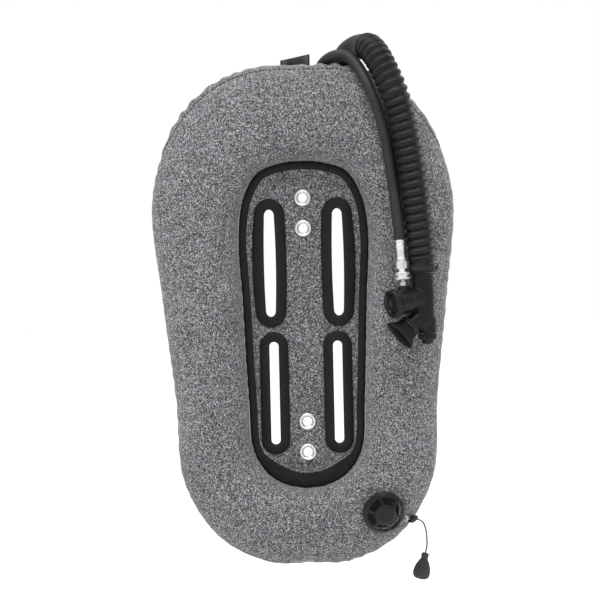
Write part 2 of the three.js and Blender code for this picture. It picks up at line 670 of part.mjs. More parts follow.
const nutFrom = QD.ferrule + GAP;
const nutTo = nutFrom + QD.nut;
const collarFrom = nutTo + QD.collarGap;
const collarTo = collarFrom + QD.collar;
add('hose_ferrule', rod(QD_TOP, QD_AXIS, 2 * GAP, QD.ferrule, 6.7, 16, 6.9), CHROME, 0.28, 1);
add('hose_nut', carve([
  rod(QD_TOP, QD_AXIS, nutFrom, nutTo, 7.6, 6),
  rod(QD_TOP, QD_AXIS, nutTo - 1, collarTo - 3, 5.2, 16),
], [rod(QD_TOP, QD_AXIS, collarFrom - 1, collarTo, 3.6, 12)]), CHROME, 0.25, 1);
add('qd_collar', knurled(QD_TOP, QD_AXIS, collarFrom, collarTo, 5.7, 8.6, 16, 0.5), CHROME, 0.3, 1);
add('qd_nipple', turned(QD_TOP, QD_AXIS, [
  [0, collarFrom + 1], [3.2, collarFrom + 1], [3.2, collarTo + 2.4], [5, collarTo + 2.4],
  [5, collarTo + 7], [3.2, collarTo + 7.2], [3.2, collarTo + 14], [0, collarTo + 14],
], 12), CHROME, 0.25, 1);

const lpCurve = splineThrough(LP_ROUTE);
add('lp_hose', hose(lpCurve, LP_RADIUS, 8, 34), 0x48464b, 0.6);
add('first_stage_ferrule', rod(FITTING_TOP, down, GAP, 22, 6.9, 16, 6.7), CHROME, 0.28, 1);
add('first_stage_fitting', carve([
  rod(FITTING_TOP, down, 22 + GAP, 30, 7.6, 6),
  rod(FITTING_TOP, down, 29, 32, 4, 12),
  rod(FITTING_TOP, down, 31, 40, 4.7, 14),
], [rod(FITTING_TOP, down, 33, 41, 2, 10)]), CHROME, 0.25, 1);
add('first_stage_o_ring', tubeRing(FITTING_TOP, down, 30.3, 30.7, 4.2, 5.6, 14), BLACK_RUBBER, 0.6);

// ---------------------------------------------------------------- dump valve

const atValve = (profile, sides) => turned(VALVE_PORT.at, VALVE_PORT.axis, profile, sides);
add('dump_valve_base', atValve([
  [12, -17], [18, -17], [18, -15], [PORT_NECK, -15], [PORT_NECK, 3], [12, 3],
], 16), BLACK_PLASTIC, 0.5);
add('dump_valve_gasket', tubeRing(
  VALVE_PORT.at, VALVE_PORT.axis, 0.4, 1.8, PORT_NECK + GAP, 21, 16,
), BLACK_RUBBER, 0.8);

function valveCap() {
  const top = VALVE.height;
  const rim = top - 9;
  const shell = turned(VALVE_PORT.at, VALVE_PORT.axis, [
    [VALVE.radius - 3, 2.1], [VALVE.radius, 2.1], [VALVE.radius, rim], [VALVE.radius - 3.5, rim + 3.2],
    [17, rim + 4.6], [10.5, top - 1.8], [5, top - 0.4], [0, top], [0, top - 4.6],
    [VALVE.radius - 5, rim + 2], [VALVE.radius - 3, rim],
  ], 24);
  const cuts = [];
  for (let i = 0; i < VALVE.windows; i += 1) {
    const window = new THREE.Shape();
    const middle = ((i + 0.5) / VALVE.windows) * 2 * Math.PI;
    const half = 0.3;
    window.absarc(0, 0, VALVE.radius - 4, middle - half, middle + half, false);
    window.absarc(0, 0, 14.5, middle + half * 0.9, middle - half * 0.9, true);
    window.closePath();
    const cut = new THREE.ExtrudeGeometry(window, { depth: 14, bevelEnabled: false, curveSegments: 2 });
    cut.rotateX(-Math.PI / 2).translate(0, rim - 2, 0);
    cuts.push(aim(cut, VALVE_PORT.at, VALVE_PORT.axis));
  }
  return carve([shell], cuts);
}
add('dump_valve_cap', valveCap(), BLACK_PLASTIC, 0.4);
add('dump_valve_disc', atValve([
  [0, 3.4], [VALVE.disc, 3.4], [VALVE.disc, 5], [1.8, 5], [1.8, 7.4], [0, 7.4],
], 16), BLACK_RUBBER, 0.7);
add('dump_valve_spring', spring(
  VALVE_PORT.at, VALVE_PORT.axis, 5.2, VALVE.height - 6, 7, 0.6, 4,
), CHROME, 0.3, 1);

// ---------------------------------------------------------------- pull cord, guide tab and knob

const cordCurve = splineThrough(CORD_ROUTE);
const cordStart = cordCurve.getTangentAt(0).toArray();
add('cord_outlet_bush', tubeRing(
  CORD_ROUTE[0], cordStart, -GAP - BUSH.length, -GAP, 1, BUSH.radius, 14,
), 0xa5a5a8, 0.4);
add('pull_cord', hose(cordCurve, CORD_RADIUS, 8, 14), 0x2c2c2e, 0.8);

function guideTab() {
  const shape = new THREE.Shape(rectanglePoints(TAB.width, TAB.height));
  shape.holes.push(new THREE.Path(rectanglePoints(TAB.holeWidth, TAB.holeHeight)));
  const block = new THREE.ExtrudeGeometry(shape, { depth: TAB.length, bevelEnabled: false });
  block.rotateX(-Math.PI / 2).translate(0, -TAB.length / 2, 0);
  const at = cordCurve.getPointAt(TAB.share).toArray();
  return aim(block, at, cordCurve.getTangentAt(TAB.share).toArray());
}
add('cord_guide_tab', guideTab(), BLACK_FABRIC, 0.85);

const knobTop = CORD_ROUTE[CORD_ROUTE.length - 1];
add('pull_knob', turned(knobTop, KNOB_AXIS, [
  [0, GAP], [3.4, GAP], [4.7, 2], [4.7, 6.5], [5.2, 8.5], [8, 13.5], [10.2, 20.5], [11, 26],
  [9.8, 31.3], [6.4, KNOB_LENGTH], [0, KNOB_LENGTH],
], 14), 0x353538, 0.5);

export default group;
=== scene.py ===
"""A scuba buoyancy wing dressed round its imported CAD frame: fabric, hoses, valves, stitching and light."""

import math

import bpy
import numpy as np
from mathutils import Matrix, Vector, kdtree, noise
from mathutils.geometry import delaunay_2d_cdt


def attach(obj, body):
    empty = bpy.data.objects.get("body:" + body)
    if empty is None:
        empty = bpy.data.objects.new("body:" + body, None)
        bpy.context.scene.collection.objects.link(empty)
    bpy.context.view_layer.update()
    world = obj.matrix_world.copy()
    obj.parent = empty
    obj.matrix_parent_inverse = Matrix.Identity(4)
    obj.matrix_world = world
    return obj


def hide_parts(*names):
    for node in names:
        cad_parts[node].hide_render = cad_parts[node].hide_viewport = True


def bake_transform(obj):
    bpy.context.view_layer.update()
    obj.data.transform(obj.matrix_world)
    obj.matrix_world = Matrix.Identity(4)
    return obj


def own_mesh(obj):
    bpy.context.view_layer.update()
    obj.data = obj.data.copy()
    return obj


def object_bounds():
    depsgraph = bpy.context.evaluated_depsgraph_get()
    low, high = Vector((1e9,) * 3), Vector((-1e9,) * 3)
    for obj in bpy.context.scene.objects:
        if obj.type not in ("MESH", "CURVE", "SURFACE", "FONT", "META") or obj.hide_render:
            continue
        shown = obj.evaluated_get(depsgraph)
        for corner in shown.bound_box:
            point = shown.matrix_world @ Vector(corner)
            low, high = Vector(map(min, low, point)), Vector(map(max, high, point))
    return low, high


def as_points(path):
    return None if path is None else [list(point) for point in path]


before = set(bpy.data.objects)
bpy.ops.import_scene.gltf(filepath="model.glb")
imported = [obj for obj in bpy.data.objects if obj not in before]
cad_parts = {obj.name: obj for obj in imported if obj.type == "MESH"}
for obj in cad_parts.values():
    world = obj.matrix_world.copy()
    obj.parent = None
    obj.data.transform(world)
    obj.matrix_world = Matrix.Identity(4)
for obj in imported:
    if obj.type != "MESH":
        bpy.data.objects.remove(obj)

CAD_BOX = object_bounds()
ROOT = "wing"
MM = 0.001
TURN = 2 * math.pi

# ---------------------------------------------------------------- camera

VIEW_WIDTH = 0.75  # seen across the picture, at the plane of the wing
CAMERA_DISTANCE = 3.2
AIM_X, AIM_Z = -5.9 * MM, 31.2 * MM
LEAN = math.radians(1.3)


def make_camera():
    data = bpy.data.cameras.new("camera")
    data.lens = data.sensor_width * CAMERA_DISTANCE / VIEW_WIDTH
    camera = bpy.data.objects.new("camera", data)
    camera.location = (AIM_X, -CAMERA_DISTANCE, AIM_Z)
    camera.rotation_euler = (math.pi / 2, LEAN, 0)
    bpy.context.collection.objects.link(camera)
    bpy.context.scene.camera = camera


make_camera()

# ---------------------------------------------------------------- curves


def spline(points, closed=False, steps=24):
    """Centripetal Catmull-Rom curve through the points, as a fine polyline."""
    p = [Vector(q) for q in points]
    count = len(p)
    line = []
    for i in range(count if closed else count - 1):
        if closed:
            a, b, c, d = (p[(i + k) % count] for k in (-1, 0, 1, 2))
        else:
            b, c = p[i], p[i + 1]
            a = p[i - 1] if i else 2 * b - c
            d = p[i + 2] if i + 2 < count else 2 * c - b
        ta = max((b - a).length, 1e-6) ** 0.5
        tb = max((c - b).length, 1e-6) ** 0.5
        tc = max((d - c).length, 1e-6) ** 0.5
        m = ((b - a) / ta - (c - a) / (ta + tb) + (c - b) / tb) * tb
        n = ((c - b) / tb - (d - b) / (tb + tc) + (d - c) / tc) * tb
        for k in range(steps):
            t = k / steps
            line.append(b + m * t + (3 * (c - b) - 2 * m - n) * t * t + (2 * (b - c) + m + n) * t ** 3)
    if not closed:
        line.append(p[-1])
    return line


def lengths_along(line):
    run = [0.0]
    for a, b in zip(line, line[1:]):
        run.append(run[-1] + (b - a).length)
    return run


def resample(line, count, closed=False):
    """Evenly spaced points; a closed line's last point isn't its first."""
    whole = line + [line[0]] if closed else line
    run = lengths_along(whole)
    spots = np.linspace(0, run[-1], count + 1 if closed else count)
    array = np.array([tuple(q) for q in whole])
    columns = [np.interp(spots, run, array[:, k]) for k in range(array.shape[1])]
    points = [Vector(q) for q in zip(*columns)]
    return points[:-1] if closed else points


# ---------------------------------------------------------------- meshes


def new_object(name, vertices, faces, smooth=True, sharp=None):
    mesh = bpy.data.meshes.new(name)
    mesh.from_pydata([tuple(v) for v in vertices], [], faces)
    mesh.validate()
    mesh.update()
    if smooth:
        mesh.shade_smooth()
    if sharp:
        mesh.set_sharp_from_angle(angle=math.radians(sharp))
    piece = bpy.data.objects.new(name, mesh)
    bpy.context.collection.objects.link(piece)
    return piece


def grid_faces(rows, columns, closed_rows, closed_columns, start=0):
    faces = []
    for i in range(rows if closed_rows else rows - 1):
        k = (i + 1) % rows
        for j in range(columns if closed_columns else columns - 1):
            m = (j + 1) % columns
            faces.append((start + i * columns + j, start + i * columns + m,
                          start + k * columns + m, start + k * columns + j))
    return faces


def loft(name, sections, closed=True, sharp=None):
    """Skin over sections of equal length, each closed; open lofts get end caps."""
    columns = len(sections[0])
    vertices = [v for section in sections for v in section]
    faces = grid_faces(len(sections), columns, closed, True)
    if not closed:
        faces.append(tuple(range(columns)))
        last = len(vertices) - columns
        faces.append(tuple(last + k for k in reversed(range(columns))))
    piece = new_object(name, vertices, faces, sharp=sharp)
    outward(piece)
    return piece


def outward(piece):
    """Turns the faces of a closed mesh outwards."""
    mesh = piece.data
    volume = 0.0
    for face in mesh.polygons:
        a = mesh.vertices[face.vertices[0]].co
        for k in range(1, len(face.vertices) - 1):
            b = mesh.vertices[face.vertices[k]].co
            c = mesh.vertices[face.vertices[k + 1]].co
            volume += a.dot(b.cross(c))
    if volume < 0:
        mesh.flip_normals()


def frames_along(line):
    """Tangent, side and up at each point, carried along without twist."""
    tangents = []
    for i in range(len(line)):
        tangents.append((line[min(i + 1, len(line) - 1)] - line[max(i - 1, 0)]).normalized())
    side = tangents[0].orthogonal().normalized()
    if abs(tangents[0].x) < 0.9:
        side = (Vector((1, 0, 0)) - tangents[0] * tangents[0].x).normalized()
    out = []
    for tangent in tangents:
        side = (side - tangent * side.dot(tangent)).normalized()
        out.append((tangent, side, tangent.cross(side)))
    return out


def circle(at, side, up, r, sides):
    """A round section; r is a number or a function of the angle."""
    ring = []
    for k in range(sides):
        angle = TURN * k / sides
        here = r(angle) if callable(r) else r
        ring.append(at + side * (here * math.cos(angle)) + up * (here * math.sin(angle)))
    return ring


def tube(name, line, radius, sides=20, sharp=None):
    """Solid tube along a line; radius is a number or a function of the share of its length."""
    run = lengths_along(line)
    sections = []
    for at, (_, side, up), length in zip(line, frames_along(line), run):
        r = radius(length / run[-1]) if callable(radius) else radius
        sections.append(circle(at, side, up, r, sides))
    return loft(name, sections, closed=False, sharp=sharp)


def towards(origin, axis):
    """The matrix that puts a shape made along +Z at a point and along an axis."""
    turn = Vector((0, 0, 1)).rotation_difference(Vector(axis).normalized())
    return Matrix.Translation(Vector(origin)) @ turn.to_matrix().to_4x4()


def softened(profile, radius):
    """The profile with each corner replaced by three points, at most radius from it."""
    count = len(profile)
    out = []
    for i, corner in enumerate(profile):
        corner = Vector(corner)
        before = Vector(profile[i - 1]) - corner
        after = Vector(profile[(i + 1) % count]) - corner
        if corner.x < 1e-6 or before.length < 1e-6 or after.length < 1e-6:
            out.append(corner)
            continue
        reach = min(radius, 0.4 * before.length, 0.4 * after.length)
        a, b = corner + before.normalized() * reach, corner + after.normalized() * reach
        out += [a, (a + b) / 4 + corner / 2, b]
    return out


def turned(name, origin, axis, profile, sides=64, soft=0.35, shape=None, sharp=40):
    """Turned piece from a closed profile of (radius, height) in millimetres.
    shape(radius, height, angle) may change the radius, for teeth and flutes."""
    points = softened(profile, soft)
    vertices, faces = [], []
    rows = []
    place = towards(origin, axis)
    for point in points:
        if point.x < 1e-6:
            vertices.append(place @ Vector((0, 0, point.y * MM)))
            rows.append([len(vertices) - 1] * sides)
            continue
        row = []
        for k in range(sides):
            angle = TURN * k / sides
            r = shape(point.x, point.y, angle) if shape else point.x
            at = Vector((r * math.cos(angle), r * math.sin(angle), point.y)) * MM
            vertices.append(place @ at)
            row.append(len(vertices) - 1)
        rows.append(row)
    for i, row in enumerate(rows):
        following = rows[(i + 1) % len(rows)]
        for k in range(sides):
            m = (k + 1) % sides
            corners = [row[k], row[m], following[m], following[k]]
            face = [c for n, c in enumerate(corners) if c not in corners[:n]]
            if len(face) > 2:
                faces.append(tuple(face))
    piece = new_object(name, vertices, faces, sharp=sharp)
    outward(piece)
    return piece


def join(name, pieces):
    """One mesh object out of several."""
    vertices, faces = [], []
    for piece in pieces:
        start = len(vertices)
        vertices += [piece.matrix_world @ v.co for v in piece.data.vertices]
        faces += [tuple(start + k for k in face.vertices) for face in piece.data.polygons]
        bpy.data.objects.remove(piece)
    return new_object(name, vertices, faces)


def apply_modifiers(piece):
    graph = bpy.context.evaluated_depsgraph_get()
    mesh = bpy.data.meshes.new_from_object(piece.evaluated_get(graph))
    piece.modifiers.clear()
    piece.data = mesh
    return piece


def moulded(name, pieces, voxel, rounds=6):
    """Overlapping shapes melted into one smooth moulding."""
    piece = join(name, pieces)
    remesh = piece.modifiers.new("remesh", "REMESH")
    remesh.mode = "VOXEL"
    remesh.voxel_size = voxel
    smooth = piece.modifiers.new("smooth", "CORRECTIVE_SMOOTH")
    smooth.iterations = rounds
    smooth.use_only_smooth = True
    apply_modifiers(piece)
    piece.data.shade_smooth()
    return piece


def stitches(name, line, length=3.2 * MM, gap=1.4 * MM, radius=0.42 * MM, lift=None):
    """A row of short thread stitches along a line."""
    whole = lengths_along(line)[-1]
    count = max(2, int(whole / (length + gap)))
    fine = resample(line, count * 6 + 1)
    vertices, faces = [], []
    sides = 6
    for n in range(count):
        run = fine[n * 6:n * 6 + 5]
        start = len(vertices)
        for i, (at, (_, side, up)) in enumerate(zip(run, frames_along(run))):
            r = radius * math.sin(math.pi * (0.12 + 0.76 * i / 4)) ** 0.5
            sink = lift(at, i / 4) if lift else Vector((0, 0, 0))
            vertices += circle(at + sink, side, up, r, sides)
        faces += grid_faces(5, sides, False, True, start)
        faces.append(tuple(start + k for k in reversed(range(sides))))
        faces.append(tuple(start + 4 * sides + k for k in range(sides)))
    return new_object(name, vertices, faces)


# ---------------------------------------------------------------- materials


class Nodes:
    """A short way to write the node graph of one material."""

    def __init__(self, name, roughness=0.5, metallic=0.0, **sockets):
        self.material = bpy.data.materials.new(name)
        self.material.use_nodes = True
        self.tree = self.material.node_tree
        self.shader = self.tree.nodes["Principled BSDF"]
        self.shader.inputs["Roughness"].default_value = roughness
        self.shader.inputs["Metallic"].default_value = metallic
        for key, value in sockets.items():
            self.shader.inputs[key.replace("_", " ")].default_value = value
        self.place = self.tree.nodes.new("ShaderNodeTexCoord").outputs["Object"]

    def node(self, kind, inputs, **settings):
        """A new node: its settings, and the value or the link of each input."""
        made = self.tree.nodes.new("ShaderNode" + kind)
        for key, value in settings.items():
            setattr(made, key, value)
        for key, value in inputs.items():
            self.put(value, made.inputs[key])
        return made

    def put(self, value, socket):
        if isinstance(value, bpy.types.NodeSocket):
            self.tree.links.new(value, socket)
        else:
            socket.default_value = value

    def scaled(self, scale):
        return self.node("Mapping", {"Vector": self.place, "Scale": scale}).outputs["Vector"]

    def noise(self, scale, detail=2.0, roughness=0.5, vector=None, distortion=0.0):
        inputs = {"Vector": vector or self.place, "Scale": scale, "Detail": detail}
        inputs.update(Roughness=roughness, Distortion=distortion)
        return self.node("TexNoise", inputs).outputs["Fac"]

    def cells(self, scale, vector=None):
        """A random even shade for each of many small cells."""
        made = self.node("TexVoronoi", {"Vector": vector or self.place, "Scale": scale})
        return self.node("SeparateColor", {"Color": made.outputs["Color"]}).outputs["Red"]

    def wave(self, scale, vector=None, direction="X", distortion=0.0):
        inputs = {"Vector": vector or self.place, "Scale": scale, "Distortion": distortion}
        return self.node("TexWave", inputs, bands_direction=direction).outputs["Fac"]

    def ramp(self, value, *stops):
        made = self.node("ValToRGB", {"Fac": value})
        elements = made.color_ramp.elements
        while len(elements) < len(stops):
            elements.new(0.5)
        for element, (position, color) in zip(elements, stops):
            element.position = position
            element.color = (*color, 1) if len(color) == 3 else color
        return made.outputs["Color"]

    def math(self, operation, a, b=0.0):
        return self.node("Math", {0: a, 1: b}, operation=operation).outputs[0]

    def mix(self, share, a, b, mode="MIX"):
        inputs = {"Factor": share, 6: a, 7: b}
        return self.node("Mix", inputs, data_type="RGBA", blend_type=mode).outputs[2]

    def span(self, value, low, high):
        return self.node("MapRange", {"Value": value, "To Min": low, "To Max": high}).outputs["Result"]

    def color(self, value):
        self.put(value, self.shader.inputs["Base Color"])

    def rough(self, value, low, high):
        self.put(self.span(value, low, high), self.shader.inputs["Roughness"])

    def bump(self, height, strength, distance, under=None):
        inputs = {"Height": height, "Strength": strength, "Distance": distance}
        if under is not None:
            inputs["Normal"] = under
        normal = self.node("Bump", inputs).outputs["Normal"]
        self.put(normal, self.shader.inputs["Normal"])
        return normal


def grey(value):
    return (value, value, value)


def heather(name, dark, middle, light):
    """Salt-and-pepper woven nylon: light and dark yarns in both directions."""
    m = Nodes(name, roughness=0.9, Sheen_Weight=0.2, Sheen_Roughness=0.5, Specular_IOR_Level=0.2)
    warp = m.cells(1150, m.scaled((1.0, 1.0, 0.6)))
    weft = m.cells(1250, m.scaled((0.6, 0.8, 1.0)))
    fleck = m.noise(1500, 1.0, 0.5)
    yarn = m.math("ADD", m.math("MULTIPLY", warp, 0.44), m.math("MULTIPLY", weft, 0.4))
    yarn = m.math("ADD", yarn, m.math("MULTIPLY", fleck, 0.16))
    base = m.ramp(yarn, (0.22, grey(dark)), (0.38, grey(middle * 0.5)), (0.5, grey(middle)),
                  (0.62, grey(middle * 1.8)), (0.78, grey(light)))
    tint = m.ramp(m.cells(420), (0.1, (1.08, 0.95, 1.12)), (0.5, (1, 0.99, 1.04)),
                  (0.9, (0.96, 1.02, 0.95)))
    soft = m.ramp(m.noise(14, 3.0, 0.5), (0.3, grey(0.9)), (0.7, grey(1.08)))
    m.color(m.mix(1.0, m.mix(1.0, base, tint, "MULTIPLY"), soft, "MULTIPLY"))
    m.rough(yarn, 0.95, 0.78)
    weave = m.math("ADD", m.wave(330, direction="X"), m.wave(330, direction="Z"))
    m.bump(m.math("ADD", m.math("MULTIPLY", yarn, 1.6), m.math("MULTIPLY", weave, 0.2)), 0.55, 0.0006)
    return m.material


def woven(name, dark, light, scale, sheen=0.3, roughness=0.7):
    """Plain woven webbing, binding or cord."""
    m = Nodes(name, roughness=roughness, Sheen_Weight=sheen, Sheen_Roughness=0.45)
    warp = m.wave(scale, direction="DIAGONAL", distortion=0.6)
    weft = m.wave(scale * 1.1, m.scaled((-1, 1, 1)), "DIAGONAL", 0.6)
    weave = m.math("MULTIPLY", warp, weft)
    worn = m.noise(60, 4.0, 0.6)
    color = m.ramp(weave, (0.1, dark), (0.8, light))
    m.color(m.mix(1.0, color, m.ramp(worn, (0.3, grey(0.75)), (0.75, grey(1.2))), "MULTIPLY"))
    m.rough(worn, roughness - 0.12, roughness + 0.1)
    m.bump(weave, 0.5, 0.0005)
    return m.material


def glossy_binding(name):
    """Black coated binding tape, creased, with a sheen along the folds; its colour is painted darker in the
    crease hollows and lighter on the ridges, as painted shade and painted highlight.
    """
    m = Nodes(name, roughness=0.38, Sheen_Weight=0.04, Specular_IOR_Level=0.15)
    crease = m.noise(55, 3.0, 0.55, distortion=0.8)
    ribs = m.wave(420, direction="Z", distortion=0.3)
    # Painted shade and highlight: the colour follows the crease height, darker in the hollows, lighter on
    # the ridges.
    m.color(m.ramp(crease, (0.3, (0.0015, 0.0015, 0.002)), (0.7, (0.006, 0.006, 0.007))))
    m.rough(crease, 0.3, 0.5)
    low = m.bump(crease, 0.5, 0.0012)
    m.bump(ribs, 0.25, 0.0003, low)
    return m.material


def rubber(name, base, roughness, grain=700, wear=0.25, **sockets):
    """Moulded rubber or plastic: fine grain, soft blooming and scuffed high spots."""
    sockets.setdefault("Specular_IOR_Level", 0.2)
    m = Nodes(name, roughness=roughness, **sockets)
    bloom = m.noise(35, 4.0, 0.6)
    fine = m.noise(grain, 3.0, 0.6)
    dusty = tuple(min(1.0, c * 1.5 + 0.002) for c in base)
    color = m.ramp(bloom, (0.3, base), (0.8, dusty))
    edge = m.ramp(m.node("NewGeometry", {}).outputs["Pointiness"], (0.5, grey(0.0)), (0.62, grey(wear)))
    m.color(m.mix(edge, color, (*grey(0.08), 1)))
    m.rough(bloom, max(0.05, roughness - 0.08), roughness + 0.12)
    m.bump(fine, 0.16, 0.0003)
    return m.material


def metal(name, color, roughness, brushed=False):
    """Plated or drawn metal with faint handling marks."""
    m = Nodes(name, roughness=roughness, metallic=1.0)
    marks = m.noise(160, 4.0, 0.65)
    lines = m.noise(700, 2.0, 0.5, m.scaled((1, 1, 0.08) if brushed else (1, 1, 1)))
    m.color(m.ramp(marks, (0.25, tuple(c * 0.82 for c in color)), (0.7, color)))
    m.rough(m.math("ADD", m.math("MULTIPLY", marks, 0.5), m.math("MULTIPLY", lines, 0.5)),
            max(0.04, roughness - 0.08), roughness + 0.16)
    m.bump(lines, 0.05, 0.0002)
    return m.material


def film(name, base):
    """Thin urethane film: cloudy and slightly wrinkled."""
    m = Nodes(name, roughness=0.35, Coat_Weight=0.2)
    cloud = m.noise(25, 4.0, 0.6)
    m.color(m.ramp(cloud, (0.3, tuple(c * 0.8 for c in base)), (0.7, tuple(c * 1.15 for c in base))))
    m.rough(cloud, 0.25, 0.5)
    m.bump(m.noise(70, 3.0, 0.6), 0.4, 0.001)
    return m.material


MATERIALS = {
    "grey_fabric": heather("heather_fabric", 0.012, 0.096, 0.38),
    "panel_fabric": heather("heather_panel", 0.009, 0.078, 0.36),
    "black_binding": glossy_binding("binding"),
    "olive_webbing": woven("webbing", (0.006, 0.006, 0.005), (0.024, 0.024, 0.02), 260, sheen=0.1),
    "bladder_film": film("bladder_film", (0.045, 0.062, 0.085)),
    "stiffener_board": rubber("stiffener_board", (0.02, 0.02, 0.021), 0.55),
    "guard_rubber": rubber("guard_rubber", (0.005, 0.005, 0.005), 0.62, Specular_IOR_Level=0.12),
    "hose_rubber": rubber("hose_rubber", (0.003, 0.003, 0.0033), 0.42, Specular_IOR_Level=0.16),
    "lp_rubber": rubber("lp_rubber", (0.014, 0.013, 0.0145), 0.45, grain=1500, Specular_IOR_Level=0.2),
    "seal_rubber": rubber("seal_rubber", (0.008, 0.008, 0.009), 0.6),
    "black_plastic": rubber("black_plastic", (0.003, 0.0032, 0.004), 0.38, Specular_IOR_Level=0.16),
    "knurled_plastic": rubber("knurled_plastic", (0.0022, 0.0022, 0.0028), 0.24, wear=0.3,
                              Specular_IOR_Level=0.22),
    "button_plastic": rubber("button_plastic", (0.003, 0.003, 0.0035), 0.22, Specular_IOR_Level=0.22),
    "tie_plastic": rubber("tie_plastic", (0.006, 0.006, 0.0065), 0.4),
    "knob_plastic": rubber("knob_plastic", (0.014, 0.014, 0.016), 0.42, Specular_IOR_Level=0.3),
    "bush_plastic": rubber("bush_plastic", (0.33, 0.33, 0.33), 0.45),
    "cord_braid": woven("cord_braid", (0.02, 0.02, 0.022), (0.1, 0.1, 0.11), 900),
    "nickel": metal("nickel", (0.66, 0.66, 0.65), 0.3),
    "spring_steel": metal("spring_steel", (0.7, 0.71, 0.72), 0.3, brushed=True),
}
THREAD = woven("thread", (0.006, 0.006, 0.007), (0.03, 0.03, 0.033), 1500)


def finished(piece, slot, body=ROOT, replaces=(), material=None):
    """Gives a piece its material and its body, and hides the CAD nodes that it stands for."""
    piece.data.materials.clear()
    piece.data.materials.append(material or MATERIALS[slot])
    if replaces:
        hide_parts(*replaces)
    if body:
        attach(piece, body)
    return piece


def fitted(name, slot, node, origin, axis, profile, body=ROOT, **options):
    """A turned piece that stands for one CAD node."""
    return finished(turned(name, origin, axis, profile, **options), slot, body, [node])


def along(origin, axis, distance):
    return Vector(origin) + Vector(axis).normalized() * distance


# ---------------------------------------------------------------- the hoses and the cord

HOSE_ROUTE = [
    (0.0548, 0.0566, 0.318), (0.056, 0.053, 0.330), (0.061, 0.043, 0.3405), (0.070, 0.028, 0.3465),
    (0.080, 0.010, 0.3475), (0.088, -0.012, 0.3435), (0.096, -0.032, 0.331), (0.1044, -0.047, 0.312),
    (0.1132, -0.0562, 0.290), (0.1204, -0.0572, 0.266), (0.126, -0.0572, 0.241), (0.1306, -0.057, 0.216),
    (0.1343, -0.057, 0.1906), (0.1374, -0.0568, 0.1655), (0.140, -0.0565, 0.1404),
    (0.1422, -0.0562, 0.1154), (0.144, -0.056, 0.0903), (0.1453, -0.056, 0.0615),
]
HOSE_CREST = 17.9 * MM
HOSE_GROOVE = 14.9 * MM
HOSE_CUFF = 15.6 * MM
RIB_PITCH = 10.2 * MM
UPPER_CUFF_SHARE = 0.192
LOWER_CUFF_LENGTH = 14 * MM

LP_ROUTE = [
    (0.1182, -0.060, 0.1028), (0.1175, -0.0596, 0.115), (0.1153, -0.054, 0.140), (0.1127, -0.0487, 0.166),
    (0.1096, -0.0465, 0.191), (0.104, -0.046, 0.229), (0.0982, -0.046, 0.254), (0.0919, -0.0445, 0.276),
    (0.0854, -0.040, 0.292), (0.0778, -0.0295, 0.3095), (0.0715, -0.018, 0.3215), (0.0634, -0.009, 0.331),
    (0.0547, -0.003, 0.3356), (0.0447, 0.0025, 0.3358), (0.0355, 0.009, 0.3322), (0.0283, 0.0175, 0.3255),
    (0.0245, 0.027, 0.315), (0.0234, 0.034, 0.300), (0.023, 0.038, 0.280), (0.023, 0.0395, 0.255),
    (0.023, 0.0395, 0.200), (0.023, 0.039, 0.140), (0.023, 0.039, 0.080),
]
LP_RADIUS = 7.0 * MM

CORD_ROUTE = [
    (0.1202, -0.0313, -0.2423), (0.125, -0.0264, -0.243), (0.131, -0.0215, -0.244),
    (0.1365, -0.017, -0.2455), (0.141, -0.013, -0.249), (0.1441, -0.0098, -0.257),
    (0.1455, -0.0078, -0.268), (0.1454, -0.007, -0.2785), (0.1436, -0.0067, -0.287),
]
CORD_RADIUS = 1.1 * MM

# ---------------------------------------------------------------- places of the fittings, as in the CAD

UP = (0, 0, 1)
ELBOW_AT, ELBOW_AXIS = (0.054, 0.0286, 0.288), (0.05, 0.968, 0.245)
VALVE_AT, VALVE_AXIS = (0.0903, -0.037, -0.2315), (0.2, -0.945, -0.26)
BARREL_X, BARREL_Y = 0.1455, -0.056
INFLATE_FROM, INFLATE_AXIS = (BARREL_X, BARREL_Y, 0.031), (-0.85, -0.5, -0.16)
MOUTH_FROM, MOUTH_AXIS = (BARREL_X, BARREL_Y, 0.012), (-0.7, -0.36, -0.617)
DEFLATE_FROM = (0.150, BARREL_Y, 0)
QD_TOP, QD_AXIS = LP_ROUTE[0], (0.055, 0, -0.998)
NIPPLE_SEAT = along(QD_TOP, QD_AXIS, 51.8 * MM)

# ---------------------------------------------------------------- hoses and cord as pieces


def hump(x, middle, width):
    return math.exp(-(((x - middle) / width) ** 2))


def hose_radius(s, whole):
    """Radius of the hose and lean of its ribs, at a distance from the elbow."""
    rib_from = UPPER_CUFF_SHARE * whole
    rib_to = whole - LOWER_CUFF_LENGTH
    ribs = round((rib_to - rib_from) / RIB_PITCH)
    share = (s - rib_from) / (rib_to - rib_from)
    if share <= 0:
        bead = 0.7 * MM * hump(s, 2.5 * MM, 1.6 * MM)
        return 15.3 * MM + 0.5 * MM * min(1.0, s / rib_from) + bead, 0.0
    if share >= 1:
        down = (s - rib_to) / LOWER_CUFF_LENGTH
        groove = 0.9 * MM * hump(down, 0.2, 0.09)
        return 15.7 * MM - groove - 0.5 * MM * max(0.0, down - 0.85) / 0.15, 0.0
    rise = (0.5 - 0.5 * math.cos(TURN * ribs * share)) ** 0.6
    ease = min(1.0, share * ribs, (1 - share) * ribs)
    r = HOSE_GROOVE + (HOSE_CREST - HOSE_GROOVE) * rise
    return HOSE_CUFF + (r - HOSE_CUFF) * ease ** 0.5, (0.12 + 0.14 * share) * ease


